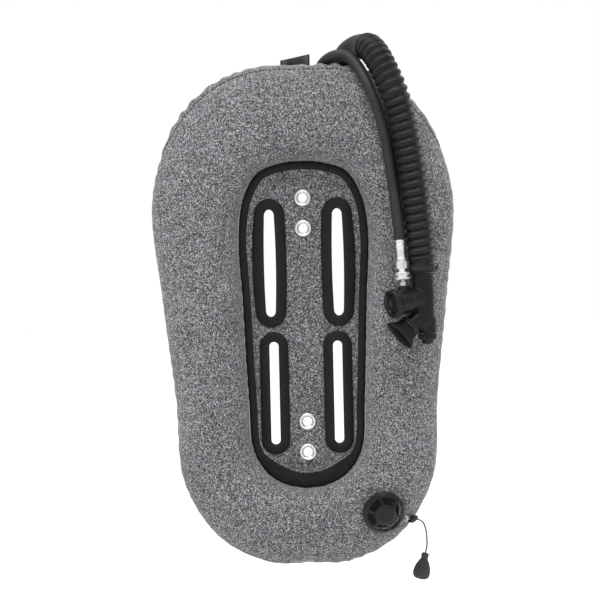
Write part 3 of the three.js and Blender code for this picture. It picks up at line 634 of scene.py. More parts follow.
def corrugated_hose():
    """Smooth cuffs at both ends and rounded ribs between them, one skin from elbow to inflator."""
    line = spline(HOSE_ROUTE)
    whole = lengths_along(line)[-1]
    steps, sides = 760, 48
    points = resample(line, steps)
    sections = []
    for i, (at, (tangent, side, up)) in enumerate(zip(points, frames_along(points))):
        r, lean = hose_radius(whole * i / (steps - 1), whole)
        sections.append(circle(at, side - tangent * lean, up, r, sides))
    piece = loft("corrugated_hose_skin", sections, closed=False)
    finished(piece, "hose_rubber", replaces=["hose_cuff_upper", "corrugated_hose", "hose_cuff_lower"])
    return piece, resample(line, 90), whole


def lp_hose():
    line = resample(spline(LP_ROUTE), 260)

    def radius(share):
        return LP_RADIUS * (1 - 0.06 * hump(share, 0, 1 / 180) - 0.06 * hump(share, 1, 1 / 180))

    piece = tube("lp_hose_skin", line, radius, 24)
    finished(piece, "lp_rubber", replaces=["lp_hose"])
    return piece, line, lengths_along(line)[-1]


def pull_cord():
    """Braided cord, whose three strands show as a twisted surface."""
    line = resample(spline(CORD_ROUTE), 150)
    sections = []
    for i, (at, (_, side, up)) in enumerate(zip(line, frames_along(line))):
        def radius(angle, twist=i * 0.35):
            return CORD_RADIUS * (0.93 + 0.07 * math.cos(3 * (angle + twist)))

        sections.append(circle(at, side, up, radius, 12))
    piece = loft("pull_cord_skin", sections, closed=False)
    finished(piece, "cord_braid", body=None, replaces=["pull_cord"])
    return piece, line, lengths_along(line)[-1]


hose_piece, hose_line, hose_length = corrugated_hose()
lp_piece, lp_line, lp_length = lp_hose()
cord_piece, cord_line, cord_length = pull_cord()

# ---------------------------------------------------------------- outlines of the wing

OUTER_HALF = [
    (0, 0.325), (0.058, 0.323), (0.112, 0.302), (0.157, 0.256), (0.189, 0.165), (0.179, 0.032),
    (0.165, -0.090), (0.1565, -0.195), (0.113, -0.265), (0.051, -0.297), (0, -0.2985),
]
INNER_HALF = [
    (0, 0.205), (0.029, 0.202), (0.056, 0.191), (0.075, 0.158), (0.0815, 0.112), (0.078, 0.032),
    (0.073, -0.090), (0.068, -0.156), (0.049, -0.186), (0.025, -0.200), (0, -0.204),
]
FRONT_BULGE = 0.038
BACK_BULGE = 0.031
CREST_SHIFT = 0.85


def whole_outline(half):
    """The half and its mirror image, as 20 points from each given point to the next."""
    left = [(-x, z) for x, z in reversed(half[1:-1])]
    return spline([(x, 0, z) for x, z in half + left], True, 20)


outer_line = whole_outline(OUTER_HALF)
inner_line = whole_outline(INNER_HALF)


def bulge(t):
    return math.sqrt(max(0.0, 1 - abs(2 * t ** CREST_SHIFT - 1) ** 2.1))


def even_shares(depth, count, width=0.11):
    """Shares across the ring that are evenly spaced along its curved section."""
    fine = [(k / 2000) ** 2 * (3 - 2 * k / 2000) for k in range(2001)]
    line = [Vector((t * width, depth * bulge(t), 0)) for t in fine]
    run = lengths_along(line)
    return list(np.interp(np.linspace(0, run[-1], count + 1), run, fine))


def inset(line, distance):
    """A closed outline in the X-Z plane moved inwards; distance may be a function of z."""
    count = len(line)
    out = []
    for i, at in enumerate(line):
        run = (line[(i + 1) % count] - line[i - 1]).normalized()
        d = distance(at.z) if callable(distance) else distance
        out.append(Vector((at.x + run.z * d, at.y, at.z - run.x * d)))
    return out


def smoothstep(x, low, high):
    t = min(1.0, max(0.0, (x - low) / (high - low)))
    return t * t * (3 - 2 * t)


def ripple(at, scale, seed):
    return noise.noise(at * scale + Vector((seed, seed * 1.7, seed * 0.3)))


# ---------------------------------------------------------------- the fabric shell

FRONT_STEPS = 30
BACK_STEPS = 24
SEAM_PUCKER = 0.05  # extra fabric gathered into the outer seam
RIM_PUCKER = 0.03  # and along the inner edge
SLACK = 0.97  # depth before the simulation, as a share of the full depth
CLOTH_PRESSURE = 4.0
CLOTH_FRAMES = 20
MOST_MOVE = 7 * MM
GROOVE_DEPTH, GROOVE_WIDTH = 1.6 * MM, 1.7 * MM
GATHER_PITCH, GATHER_REACH = 3.4 * MM, 9 * MM
INNER_PITCH, INNER_REACH = 2.6 * MM, 8 * MM
VALVE_REACH, VALVE_WIDTH = 32 * MM, 4.5 * MM


def shell_sections():
    front = even_shares(FRONT_BULGE, FRONT_STEPS)
    back = even_shares(BACK_BULGE, BACK_STEPS)
    sections = []
    for outer, inner in zip(outer_line, inner_line):
        ring = [(t, -FRONT_BULGE) for t in front] + [(t, BACK_BULGE) for t in reversed(back[1:-1])]
        sections.append([inner.lerp(outer, t) + Vector((0, y * SLACK * bulge(t), 0)) for t, y in ring])
    return sections


def inflate(piece, columns):
    """Cloth simulation of the filled shell: held at the inner edge and at the outer seam, with a little
    more fabric beside them than the seams take up, so that it gathers."""
    pinned = piece.vertex_groups.new(name="pinned")
    gathered = piece.vertex_groups.new(name="gathered")
    for i in range(len(piece.data.vertices)):
        j = i % columns
        to_seam = abs(j - FRONT_STEPS)
        to_rim = min(j, columns - j)
        if to_rim == 0 or to_seam == 0:
            pinned.add([i], 1.0, "REPLACE")
        elif to_rim == 1:
            pinned.add([i], 0.5, "REPLACE")
        near_seam = max(0.0, 1 - abs(to_seam - 2) / 4)
        near_rim = max(0.0, 1 - abs(to_rim - 3) / 4) * RIM_PUCKER / SEAM_PUCKER
        if max(near_seam, near_rim) > 0:
            gathered.add([i], max(near_seam, near_rim), "REPLACE")
    start = np.array([v.co[:] for v in piece.data.vertices])
    cloth = piece.modifiers.new("cloth", "CLOTH")
    settings = cloth.settings
    settings.quality = 6
    settings.mass = 0.25
    settings.tension_stiffness = 30
    settings.compression_stiffness = 30
    settings.shear_stiffness = 12
    settings.bending_stiffness = 0.6
    settings.air_damping = 2
    settings.use_pressure = True
    settings.uniform_pressure_force = CLOTH_PRESSURE
    settings.vertex_group_mass = "pinned"
    settings.vertex_group_shrink = "gathered"
    settings.shrink_min = 0.0
    settings.shrink_max = -SEAM_PUCKER
    settings.effector_weights.gravity = 0
    cloth.collision_settings.use_collision = False
    scene = bpy.context.scene
    for number in range(1, CLOTH_FRAMES + 1):
        scene.frame_set(number)
    graph = bpy.context.evaluated_depsgraph_get()
    mesh = piece.evaluated_get(graph).to_mesh()
    end = np.array([v.co[:] for v in mesh.vertices])
    move = end - start
    length = np.linalg.norm(move, axis=1, keepdims=True)
    move *= np.minimum(1.0, MOST_MOVE / np.maximum(length, 1e-9))
    piece.modifiers.clear()
    piece.vertex_groups.clear()
    piece.data.vertices.foreach_set("co", (start + move).astype(np.float32).ravel())
    piece.data.update()
    scene.frame_set(1)


def over_top(at):
    """0 round the sides and the bottom of the ring, 1 over its top and shoulders."""
    return smoothstep(at.z, 0.20, 0.27)


def seam_offset(at):
    """How far inside the silhouette the outer seam runs: it comes forward over the top and the
    shoulders, and lies on the very edge elsewhere."""
    return (0.4 + 5.5 * over_top(at)) * MM


def nearest(line):
    """A search tree over a finely resampled closed outline, and the fine outline itself."""
    fine = resample([Vector((p.x, 0, p.z)) for p in line], 3600, True)
    tree = kdtree.KDTree(len(fine))
    for k, at in enumerate(fine):
        tree.insert(at, k)
    tree.balance()
    return tree, fine


def dress_shell(piece):
    """Seam groove, puckers beside it and long soft folds, as small moves along the surface normal."""
    mesh = piece.data
    outer_tree, fine = nearest(outer_line)
    inner_tree, _ = nearest(inner_line)
    step = lengths_along(fine)[-1] / (len(fine) - 1)
    moved = []
    for vertex in mesh.vertices:
        at = vertex.co
        flat = Vector((at.x, 0, at.z))
        _, k, edge = outer_tree.find(flat)
        rim = inner_tree.find(flat)[2]
        s = k * step
        move = 0.0
        if at.y <= 4 * MM:
            move -= GROOVE_DEPTH * hump(edge, seam_offset(fine[k]), GROOVE_WIDTH)
        phase = s / GATHER_PITCH + 1.5 * math.sin(s * 31) + 1.1 * math.sin(s * 77 + 2)
        strength = (0.6 + 0.75 * over_top(at)) * (0.6 + 0.4 * math.sin(s * 17 + 1))
        move += strength * MM * math.sin(phase) * math.exp(-edge / GATHER_REACH)
        gather = s / INNER_PITCH + 1.3 * math.sin(s * 43)
        move += 0.3 * MM * math.sin(gather) * math.exp(-rim / INNER_REACH)
        middle = 1 - math.exp(-edge / (12 * MM))
        move += middle * (1.1 * MM * ripple(at, 16, 3.1) + 0.35 * MM * ripple(at, 48, 7.7))
        across, up = at.x - VALVE_AT[0], at.z - VALVE_AT[2]
        valve = math.hypot(across, up)
        if at.y < 0 and valve < 50 * MM:
            wave = math.sin(7 * math.atan2(up, across) + 0.6)
            move += hump(valve, VALVE_REACH, VALVE_WIDTH) * (1.1 + 0.7 * wave) * MM
        moved.append(at + vertex.normal * move)
    for vertex, at in zip(mesh.vertices, moved):
        vertex.co = at
    mesh.update()


def fabric_shell():
    sections = shell_sections()
    piece = loft("wing_shell", sections)
    inflate(piece, len(sections[0]))
    subdivide = piece.modifiers.new("subdivide", "SUBSURF")
    subdivide.levels = 1
    apply_modifiers(piece)
    dress_shell(piece)
    piece.data.shade_smooth()
    finished(piece, "grey_fabric", replaces=["shell_front", "shell_back"])
    return piece


shell = fabric_shell()


def on_shell(point, direction, lift=0.0):
    """Where a ray from a point meets the shell, or the point itself."""
    hit, place, normal, _ = shell.ray_cast(Vector(point), Vector(direction))
    return place + normal * lift if hit else Vector(point)


def seam_stitching_and_painted_shadow():
    """Thread along the forward stretch of the seam, over the top and the shoulders, thick and nearly
    unbroken, so that besides real stitching it is a painted shadow line along the seam groove.
    """
    count = len(outer_line)
    chosen = [i for i in range(count) if outer_line[i].z > 0.215]
    chosen.sort(key=lambda i: (i + count // 2) % count)
    line = []
    for i in chosen:
        toward = (inner_line[i] - outer_line[i]).normalized()
        at = outer_line[i] + toward * (seam_offset(outer_line[i]) + 1.2 * MM)
        line.append(on_shell((at.x, -0.1, at.z), (0, 1, 0), 0.4 * MM))
    # Thick, close, dark stitches: real stitching, and also a painted shadow along the seam groove.
    piece = stitches("seam_stitching_and_painted_shadow", line, length=5 * MM, gap=1 * MM, radius=0.85 * MM)
    finished(piece, "grey_fabric", material=THREAD)


seam_stitching_and_painted_shadow()

# ---------------------------------------------------------------- centre panel, hem and band

# Strap slots: middle, width of the guard, width and height of the slot, bow of the guard's outer side.
SLOTS = {
    "upper": {"x": 0.0425, "z": 0.078, "guard": 0.041, "slot": (0.014, 0.134), "bow": 2.2 * MM},
    "lower": {"x": 0.0397, "z": -0.0845, "guard": 0.036, "slot": (0.0115, 0.128), "bow": 0.0},
}
GROMMETS = {"top": 0.15875, "upper": 0.12065, "bottom": -0.12065, "lower": -0.15875}
PANEL_FACE = 2.8 * MM
PANEL_LAYER = 1.5 * MM
BAND_SEAT = 3.05 * MM
BAND_RISE = 1.55 * MM
BAND_STEPS = 10


def arc(x, z, radius, start, end, steps):
    return [(x + radius * math.cos(start + (end - start) * k / steps),
             z + radius * math.sin(start + (end - start) * k / steps)) for k in range(steps + 1)]


def stadium(x, z, width, height, margin, steps=14):
    straight, r = (height - width) / 2, width / 2 + margin
    return arc(x, z + straight, r, 0, math.pi, steps) + arc(x, z - straight, r, math.pi, TURN, steps)


def within(p, loop):
    """Whether a point lies inside a closed outline."""
    hit = False
    for (ax, az), (bx, bz) in zip(loop, loop[1:] + loop[:1]):
        if (az > p[1]) != (bz > p[1]) and p[0] < (bx - ax) * (p[1] - az) / (bz - az) + ax:
            hit = not hit
    return hit


def lattice(outline, spacing):
    """Points of a square grid over an outline's box, row by row."""
    points = []
    right, z = max(x for x, _ in outline), min(z for _, z in outline)
    while z < max(z for _, z in outline):
        x = min(x for x, _ in outline)
        while x < right:
            points.append(Vector((x, z)))
            x += spacing
        z += spacing
    return points


def flat_cloth(name, outline, holes, faces_at, thickness, spacing, lift):
    """A layer of cloth in the X-Z plane with holes through it, gently uneven."""
    points, edges = [], []
    for loop in (outline, *holes):
        start = len(points)
        points += [Vector(p) for p in loop]
        edges += [(start + k, start + (k + 1) % len(loop)) for k in range(len(loop))]
    points += lattice(outline, spacing)
    rim = list(range(len(outline)))
    flat, _, triangles, _, _, _ = delaunay_2d_cdt(points, edges, [rim], 0, 1e-7)
    kept = []
    for face in triangles:
        middle = [sum(flat[k][n] for k in face) / len(face) for n in (0, 1)]
        if within(middle, outline) and not any(within(middle, hole) for hole in holes):
            kept.append(tuple(face))
    used = sorted({k for face in kept for k in face})
    index = {k: n for n, k in enumerate(used)}
    vertices = [Vector((flat[k][0], faces_at, flat[k][1])) for k in used]
    vertices = [at + Vector((0, lift(at), 0)) for at in vertices]
    piece = new_object(name, vertices, [tuple(index[k] for k in face) for face in kept])
    solid = piece.modifiers.new("solid", "SOLIDIFY")
    solid.thickness = thickness
    solid.offset = 0
    apply_modifiers(piece)
    outward(piece)
    piece.data.shade_smooth()
    piece.data.set_sharp_from_angle(angle=math.radians(50))
    return piece


panel_outline = [(p.x, p.z) for p in inset(inner_line, 0.4 * MM)]
panel_holes = [stadium(side * s["x"], s["z"], *s["slot"], 3.8 * MM)
               for s in SLOTS.values() for side in (-1, 1)]
grommet_holes = [arc(0, z, 6.9 * MM, 0, TURN, 20)[:-1] for z in GROMMETS.values()]


def polygon_area(loop):
    return abs(sum(ax * bz - bx * az for (ax, az), (bx, bz) in zip(loop, loop[1:] + loop[:1]))) / 2


def centre_panels():
    holes = panel_holes + grommet_holes
    area = polygon_area(panel_outline) - sum(polygon_area(hole) for hole in holes)
    for name, side in (("front", -1), ("back", 1)):
        def lift(at, side=side):
            return -side * (0.12 + 0.22 * ripple(at, 30, side + 5) + 0.12 * ripple(at, 90, side + 9)) * MM

        piece = flat_cloth(f"centre_panel_{name}_cloth", panel_outline, holes,
                           side * (PANEL_FACE - PANEL_LAYER / 2), PANEL_LAYER - 0.3 * MM, 4 * MM, lift)
        finished(piece, "panel_fabric", replaces=[f"centre_panel_{name}"])


centre_panels()


def band_width(z):
    return (10.6 + 8.9 * smoothstep(-z, 0.156, 0.196)) * MM


def ring_strip(name, outer, inner, section):
    """A strip between two outlines; section lists (share across, depth) round it."""
    rows = []
    for a, b in zip(outer, inner):
        rows.append([Vector((a.x + (b.x - a.x) * t, y, a.z + (b.z - a.z) * t)) for t, y in section])
    return loft(name, rows)


def ring_bands():
    """The black binding: slightly crowned, creased where it is gathered round the bottom."""
    rim = inset(inner_line, 0.3 * MM)
    edge = inset(inner_line, lambda z: 0.3 * MM + band_width(z))
    for name, side in (("front", -1), ("back", 1)):
        rows = []
        for a, b in zip(rim, edge):
            gathered = 0.25 + 1.1 * smoothstep(-a.z, 0.12, 0.2)
            section = []
            for k in range(BAND_STEPS + 1):
                t = k / BAND_STEPS
                crown = math.sin(math.pi * t) ** 0.5
                at = a.lerp(b, t)
                crease = ripple(Vector((at.x * 2.2, at.z * 2.2, t * 0.02)), 40, 2) * gathered
                wobble = ripple(at, 55, 11) * 0.5 * MM * (t > 0.7)
                depth = BAND_SEAT + 0.05 * MM + (BAND_RISE + crease * 0.9 * MM) * crown
                section.append(Vector((at.x, side * depth, at.z)) + (b - a).normalized() * wobble)
            section += [Vector((at.x, side * BAND_SEAT, at.z)) for at in (b, a)]
            rows.append(section)
        finished(loft(f"ring_band_{name}_tape", rows), "black_binding", replaces=[f"ring_band_{name}"])


ring_bands()


def hem_width(z):
    return (3.5 + 8 * smoothstep(z, 0.10, 0.19) + 1.5 * smoothstep(-z, 0.15, 0.19)) * MM


def piping(name, line, side, depth, r):
    """A thin round edge along a closed outline."""
    rows = []
    for i, at in enumerate(line):
        run = (line[(i + 1) % len(line)] - line[i - 1]).normalized()
        across = Vector((run.z, 0, -run.x))
        rows.append(circle(Vector((at.x, side * depth, at.z)), across, Vector((0, 1, 0)), r, 8))
    finished(loft(name, rows), "grey_fabric")


def hems():
    """Folded edge of the panel inside the band, piping on both sides of the band, and the stitching."""
    start = inset(inner_line, lambda z: band_width(z) - 0.8 * MM)
    end = inset(inner_line, lambda z: band_width(z) + hem_width(z))
    outer = inset(inner_line, -1.2 * MM)
    inner = inset(inner_line, lambda z: band_width(z) + 0.9 * MM)
    for name, side in (("front", -1), ("back", 1)):
        section = [(0, 2.7), (0.08, 3.5), (0.5, 3.75), (0.9, 3.55), (1, 3.1), (0.99, 2.7)]
        strip = ring_strip(f"panel_hem_{name}", start, end, [(t, side * y * MM) for t, y in section])
        finished(strip, "panel_fabric")
        piping(f"band_piping_{name}_outer", outer, side, 4.0 * MM, 1.1 * MM)
        piping(f"band_piping_{name}_inner", inner, side, 3.7 * MM, 0.7 * MM)
    line = inset(inner_line, lambda z: band_width(z) + hem_width(z) - 1.6 * MM)
    line = [Vector((p.x, -3.75 * MM, p.z)) for p in line]
    finished(stitches("hem_stitching", line + [line[0]], radius=0.32 * MM), "panel_fabric", material=THREAD)


hems()


def rectangle(half, low, high):
    return [(-half, low), (half, low), (half, high), (-half, high)]


def grommet_patch():
    """Reinforcing patch behind the lower pair of grommets, stitched round its edge."""
    half, low, high, margin, pieces = 0.020, -0.1715, -0.0905, 2 * MM, 12
    holes = [hole for hole, z in zip(grommet_holes, GROMMETS.values()) if z < 0]
    piece = flat_cloth("grommet_patch_cloth", rectangle(half, low, high), holes, -3.45 * MM, 0.8 * MM,
                       3 * MM, lambda at: -0.1 * MM - 0.15 * MM * ripple(at, 60, 4))
    finished(piece, "panel_fabric", replaces=["grommet_patch"])
    corners = rectangle(half - margin, low + margin, high - margin)
    line = []
    for (ax, az), (bx, bz) in zip(corners, corners[1:] + corners[:1]):
        for k in range(pieces):
            line.append(Vector((ax + (bx - ax) * k / pieces, -3.95 * MM, az + (bz - az) * k / pieces)))
    finished(stitches("patch_stitching", line, radius=0.32 * MM), "panel_fabric", material=THREAD)


grommet_patch()

# Slot guards, in millimetres: the seat on the cloth, the lip's height, the skirt down through the slot.
GUARDS = {
    "front": {"way": -1, "flange": 1.0, "seat": 3.15, "lip": 4.6, "skirt": -3.0},
    "back": {"way": 1, "flange": 0.8, "seat": 3.4, "lip": 3.0, "skirt": 3.4},
}
GUARD_RIM = 1.3
# The section's share across the flange, and its height as a share of the lip or of the rim.
LIP_SHAPE = [(0, 0.35), (0.03, 0.7), (0.1, 0.93), (0.2, 1), (0.34, 0.97), (0.5, 0.88), (0.66, 0.74),
             (0.78, 0.6), (0.86, 0.44)]
RIM_SHAPE = [(0.93, 1), (0.99, 0.75), (1, 0.3)]


def guard_section(seat, lip, skirt):
    section = [(0, skirt)] + [(t, seat + lip * h) for t, h in LIP_SHAPE]
    section += [(t, seat + GUARD_RIM * h) for t, h in RIM_SHAPE] + [(0.99, seat), (0.3, seat)]
    return section + ([(0.28, skirt)] if skirt < seat else [])


def stadium_walk(straight):
    """Directions and centres round a slot: two half circles, and the straight sides between them."""
    rows = []
    for end, begin in ((1, 0.0), (-1, math.pi)):
        for k in range(25):
            angle = begin + math.pi * k / 24
            rows.append((math.cos(angle), math.sin(angle), end * straight))
        rows += [(math.cos(begin + math.pi), 0.0, end * straight * (1 - k / 6)) for k in range(1, 12)]
    return rows


def slot_guard_rings(face, row, side):
    """A rolled lip round the slot and a flange that thins towards its rim. The upper slots are slimmer
    at their ends, and their outer side bows out."""
    s, g = SLOTS[row], GUARDS[face]
    width, height = s["slot"]
    flange = (s["guard"] - width) / 2 * g["flange"]
    section = guard_section(g["seat"], g["lip"], g["skirt"])
    rings = []
    for c, n, base in stadium_walk((height - width) / 2):
        lens = max(0.0, 1 - ((base + n * width / 2) / (height / 2)) ** 2)
        slim = 0.82 + 0.24 * lens if row == "upper" else 1.0
        bow = s["bow"] * (lens - 0.45) if c * side > 0 else 0.0
        ring = []
        for share, depth in section:
            x = side * s["x"] + c * (width / 2 * slim + share * (flange + bow))
            z = s["z"] + base + n * (width / 2 + share * flange)
            ring.append(Vector((x, g["way"] * depth * MM, z)))
        rings.append(ring)
    return rings


def slot_guards():
    for row in SLOTS:
        for label, side in (("left", -1), ("right", 1)):
            for face in GUARDS:
                node = f"slot_guard_{face}_{row}_{label}"
                piece = loft(f"{node}_rubber", slot_guard_rings(face, row, side))
                finished(piece, "guard_rubber", replaces=[node])


slot_guards()


def grommets():
    for name, z in GROMMETS.items():
        face = 4.1 if z < 0 else 3.1  # the lower pair stands on its patch
        top = face + 2.0
        fitted(f"grommet_{name}_turned", "nickel", f"grommet_{name}", (0, 0, z), (0, -1, 0), [
            (5.5, -3.0), (6.2, -3.0), (6.2, face), (10.4, face), (10.6, face + 0.8), (9.7, top - 0.25),
            (8.6, top), (7.6, top - 0.35), (6.7, face + 0.7), (5.7, face - 0.2),
        ], soft=0.4, sharp=None)
        fitted(f"grommet_washer_{name}_turned", "nickel", f"grommet_washer_{name}", (0, 0, z), (0, 1, 0), [
            (5.5, 3.15), (10, 3.15), (9.9, 3.7), (8, 4.15), (6.2, 3.9), (5.5, 3.9),
        ], sides=48, sharp=None)


grommets()

# ---------------------------------------------------------------- the carry loop

LOOP_LEFT, LOOP_RIGHT = -0.024, 0.013
LOOP_TOP, LOOP_WIDTH, LOOP_REACH = 0.3395, 0.021, 0.0402
LOOP_FOOT = 0.012  # where its ends are sewn to the shell, behind the mid-plane
WEBBING = 0.95 * MM
# Section of the webbing: height as a share of its width, and offset as a share of half its thickness.
WEBBING_SHAPE = [(0, 0.5), (0.05, 1), (0.5, 1.1), (0.95, 1), (1, 0.5), (1, -0.5), (0.95, -1), (0.5, -0.9),
                 (0.05, -1), (0, -0.5)]


def carry_loop():
    """Flat webbing bent into a loop behind the top edge, highest at its right end."""
    half = [(0.001, LOOP_FOOT), (0.0035, 0.022), (0.009, 0.0345)]
    path = [(LOOP_LEFT + x, y, 0) for x, y in half] + [((LOOP_LEFT + LOOP_RIGHT) / 2, LOOP_REACH, 0)]
    path = spline(path + [(LOOP_RIGHT - x, y, 0) for x, y in reversed(half)], steps=10)
    rows = []
    for i, at in enumerate(path):
        ahead = path[min(i + 1, len(path) - 1)] - path[max(i - 1, 0)]
        out = Vector((-ahead.y, ahead.x, 0)).normalized() * WEBBING
        foot = LOOP_TOP - LOOP_WIDTH + 0.2 * (at.x - LOOP_RIGHT) + 0.09 * (at.y - LOOP_FOOT)
        rows.append([Vector((at.x, at.y, foot + z * LOOP_WIDTH)) + out * t for z, t in WEBBING_SHAPE])
    piece = loft("carry_loop_webbing", rows, closed=False)
    finished(piece, "olive_webbing", replaces=["carry_loop"])
    for k, x in enumerate((LOOP_RIGHT - 0.0052, LOOP_RIGHT - 0.0088)):
        line = [Vector((x, 0.0295 + k * 0.0042, LOOP_TOP - LOOP_WIDTH + (2 + n) * MM)) for n in range(18)]
        finished(stitches(f"loop_stitching_{k}", line, radius=0.35 * MM), "olive_webbing", material=THREAD)


carry_loop()

# ---------------------------------------------------------------- elbow and cable ties


def teeth(count, depth, inner):
    """Grip teeth on every point of a profile outside a radius."""
    def shape(r, h, angle):
        if r < inner:
            return r
        wave = max(-1.0, min(1.0, 2.2 * math.cos(count * angle)))
        return r - depth * (0.5 - 0.5 * wave)
    return shape


def band(inner, outer, low, high):
    """Profile of a plain ring."""
    return [(inner, low), (outer, low), (outer, high), (inner, high)]


def elbow():
    fitted("elbow_ring_knurled", "knurled_plastic", "elbow_retaining_ring", ELBOW_AT, ELBOW_AXIS, [
        (18.1, 3.4), (21.6, 3.4), (22.4, 4.6), (22.4, 9.2), (21.2, 10.9), (18.1, 10.9),
    ], sides=216, shape=teeth(36, 0.9, 20.5))
    start = along(ELBOW_AT, ELBOW_AXIS, 6.4 * MM)
    axis = Vector(ELBOW_AXIS).normalized()
    end = Vector(HOSE_ROUTE[0])
    way = (hose_line[1] - hose_line[0]).normalized()
    route = [start, start + axis * 7 * MM, start + axis * 18 * MM + Vector((0, 0, 5 * MM)),
             end - way * 8 * MM, end - way * 0.6 * MM]
    body = tube("elbow_tube", resample(spline(route), 40), 14.6 * MM, 40)
    collar = turned("elbow_collar", start, axis, [(0, 0), (17.3, 0), (17.3, 4.2), (15, 6.4), (0, 6.4)])
    bead = turned("elbow_bead", end - way * 4.5 * MM, way, band(0, 15.7, 0, 3.2))
    piece = moulded("elbow_moulding", [body, collar, bead], 0.8 * MM)
    finished(piece, "black_plastic", replaces=["elbow"])


elbow()

TIE_FROM_ELBOW = 7.5 * MM
TIE_WIDTH = 4.9
TIE_HEAD = [(-3.2, -0.4), (3.2, -0.4), (3.2, 5.2), (-3.2, 5.2)]  # across the strap, and along the hose


def cable_tie(name, at, axis, inside, way, rise):
    """Nylon tie: a flat strap, and the square head that it locks in on one side of the hose."""
    strap = turned(f"tie_strap_{name}", at, axis, band(inside, inside + 1.0, 0.1, TIE_WIDTH), 72, soft=0.25)
    place = towards(at, axis)
    corners = []
    for x in (inside + 0.4, inside + rise):
        corners += [place @ (Vector((way * x, -way * y, z)) * MM) for y, z in TIE_HEAD]
    sides = [(k, (k + 1) % 4, (k + 1) % 4 + 4, k + 4) for k in range(4)]
    head = new_object(f"tie_head_{name}", corners, [(0, 3, 2, 1), (4, 5, 6, 7), *sides])
    bevel = head.modifiers.new("bevel", "BEVEL")
    bevel.width, bevel.segments = 0.5 * MM, 2
    apply_modifiers(head)
    piece = join(f"cable_tie_{name}_strap", [strap, head])
    piece.data.set_sharp_from_angle(angle=math.radians(40))
    return finished(piece, "tie_plastic", replaces=[f"cable_tie_{name}"])


def cable_ties():
    fine = resample(hose_line, 600)
    spot = int(len(fine) * TIE_FROM_ELBOW / hose_length)
    axis = (fine[spot + 3] - fine[spot]).normalized()
    return [cable_tie("upper", fine[spot] - axis * 2.5 * MM, axis, 17.1, -1, 3.4),
            cable_tie("lower", (BARREL_X, BARREL_Y, 0.0645), UP, 15.8, 1, 2.6)]


ties = cable_ties()

# ---------------------------------------------------------------- power inflator


def inflator_body():
    barrel = turned("barrel", (BARREL_X, BARREL_Y, 0), UP, [
        (0, -9.9), (8.4, -9.2), (12, -6.4), (13.9, -1), (13.9, 40), (13.6, 43), (13.3, 44), (13.3, 58.6),
        (14.6, 59.4), (14.6, 61.1), (0, 61.1),
    ], 72, soft=1.0)
    boss = turned("inflate_boss", INFLATE_FROM, INFLATE_AXIS, [
        (0, 0), (14.2, 0), (14.2, 20), (15.1, 22), (15.1, 38.9), (0, 38.9),
    ], soft=0.8)
    mouth = turned("mouth_stub", MOUTH_FROM, MOUTH_AXIS, band(0, 11, -8, 29.8), 56, soft=0.6)
    dump = turned("deflate_stub", DEFLATE_FROM, UP, [
        (0, -13.4), (11.1, -13.4), (11.1, 5.5), (9, 8), (0, 8),
    ], 56, soft=0.6)
    socket = turned("nipple_socket", NIPPLE_SEAT, QD_AXIS, [
        (0, 5.6), (6.4, 5.6), (7.6, 6.8), (7.6, 22), (0, 22),
    ], 48, soft=0.5)
    rib = turned("boss_rib", INFLATE_FROM, INFLATE_AXIS, [
        (0, 35.4), (15.9, 35.8), (15.9, 37.8), (0, 38.2),
    ], soft=0.5)
    body = moulded("inflator_body_moulding", [barrel, boss, mouth, dump, socket, rib], 0.7 * MM, 5)
    finished(body, "black_plastic", replaces=["inflator_body"])


inflator_body()


def inflate_button():
    low, face = 39.3, 46.3
    fitted("inflate_ring_knurled", "knurled_plastic", "inflate_button_ring", INFLATE_FROM, INFLATE_AXIS, [
        (10.9, low), (16.4, low), (17.9, low + 1.6), (17.9, low + 6.2), (16.6, low + 8.2),
        (13.6, low + 8.4), (11.6, low + 7.4), (10.9, low + 6),
    ], sides=240, shape=teeth(30, 1.0, 15.5))
    fitted("inflate_button_cap", "button_plastic", "inflate_button", INFLATE_FROM, INFLATE_AXIS, [
        (0, 30.1), (2.3, 30.1), (2.3, face - 2.8), (10.1, face - 2.8), (10.1, face - 0.7), (9.2, face),
        (7.4, face - 0.2), (4.8, face - 1.3), (2.6, face - 1.9), (0, face - 2.1),
    ], "inflate_button", soft=0.3, sharp=55)


def deflate_button():
    fitted("deflate_bezel_knurled", "knurled_plastic", "deflate_button_bezel", DEFLATE_FROM, UP, [
        (7.8, -21.2), (9.6, -21.2), (10.9, -20), (11.1, -14.6), (10.6, -13.85), (7.8, -13.85),
    ], sides=192, shape=teeth(24, 0.8, 10.2), soft=0.25)

    def gripped(r, h, angle):
        return r - 0.25 if r > 6.8 and math.cos(18 * angle) < 0 else r

    fitted("deflate_button_cap", "button_plastic", "deflate_button", DEFLATE_FROM, UP, [
        (0, -25.9), (3.5, -26.2), (5.6, -26.2), (7.1, -25), (7.1, -19.4), (2.3, -19.4), (2.3, -7.6),
        (0, -7.6),
    ], "deflate_button", sides=96, soft=0.4, shape=gripped)


inflate_button()
deflate_button()


def spring(node, origin, axis, start, end, radius, wire, turns):
    """Helical spring of round wire, coiled along an axis between two heights."""
    place = towards(origin, axis)
    steps = turns * 20
    line = []
    for k in range(steps + 1):
        angle = TURN * turns * k / steps
        height = start + wire + (end - start - 2 * wire) * k / steps
        line.append(place @ (Vector((radius * math.cos(angle), radius * math.sin(angle), height)) * MM))
    piece = tube(f"{node}_coil", line, wire * MM, 8)
    finished(piece, "spring_steel", replaces=[node])
    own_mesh(piece)


spring("inflate_spring", INFLATE_FROM, INFLATE_AXIS, 22.1, 43.2, 4.4, 0.6, 6)
spring("deflate_spring", DEFLATE_FROM, UP, -19, 1.8, 4.2, 0.6, 6)
spring("dump_valve_spring", VALVE_AT, VALVE_AXIS, 5.2, 14.5, 7, 0.55, 4)


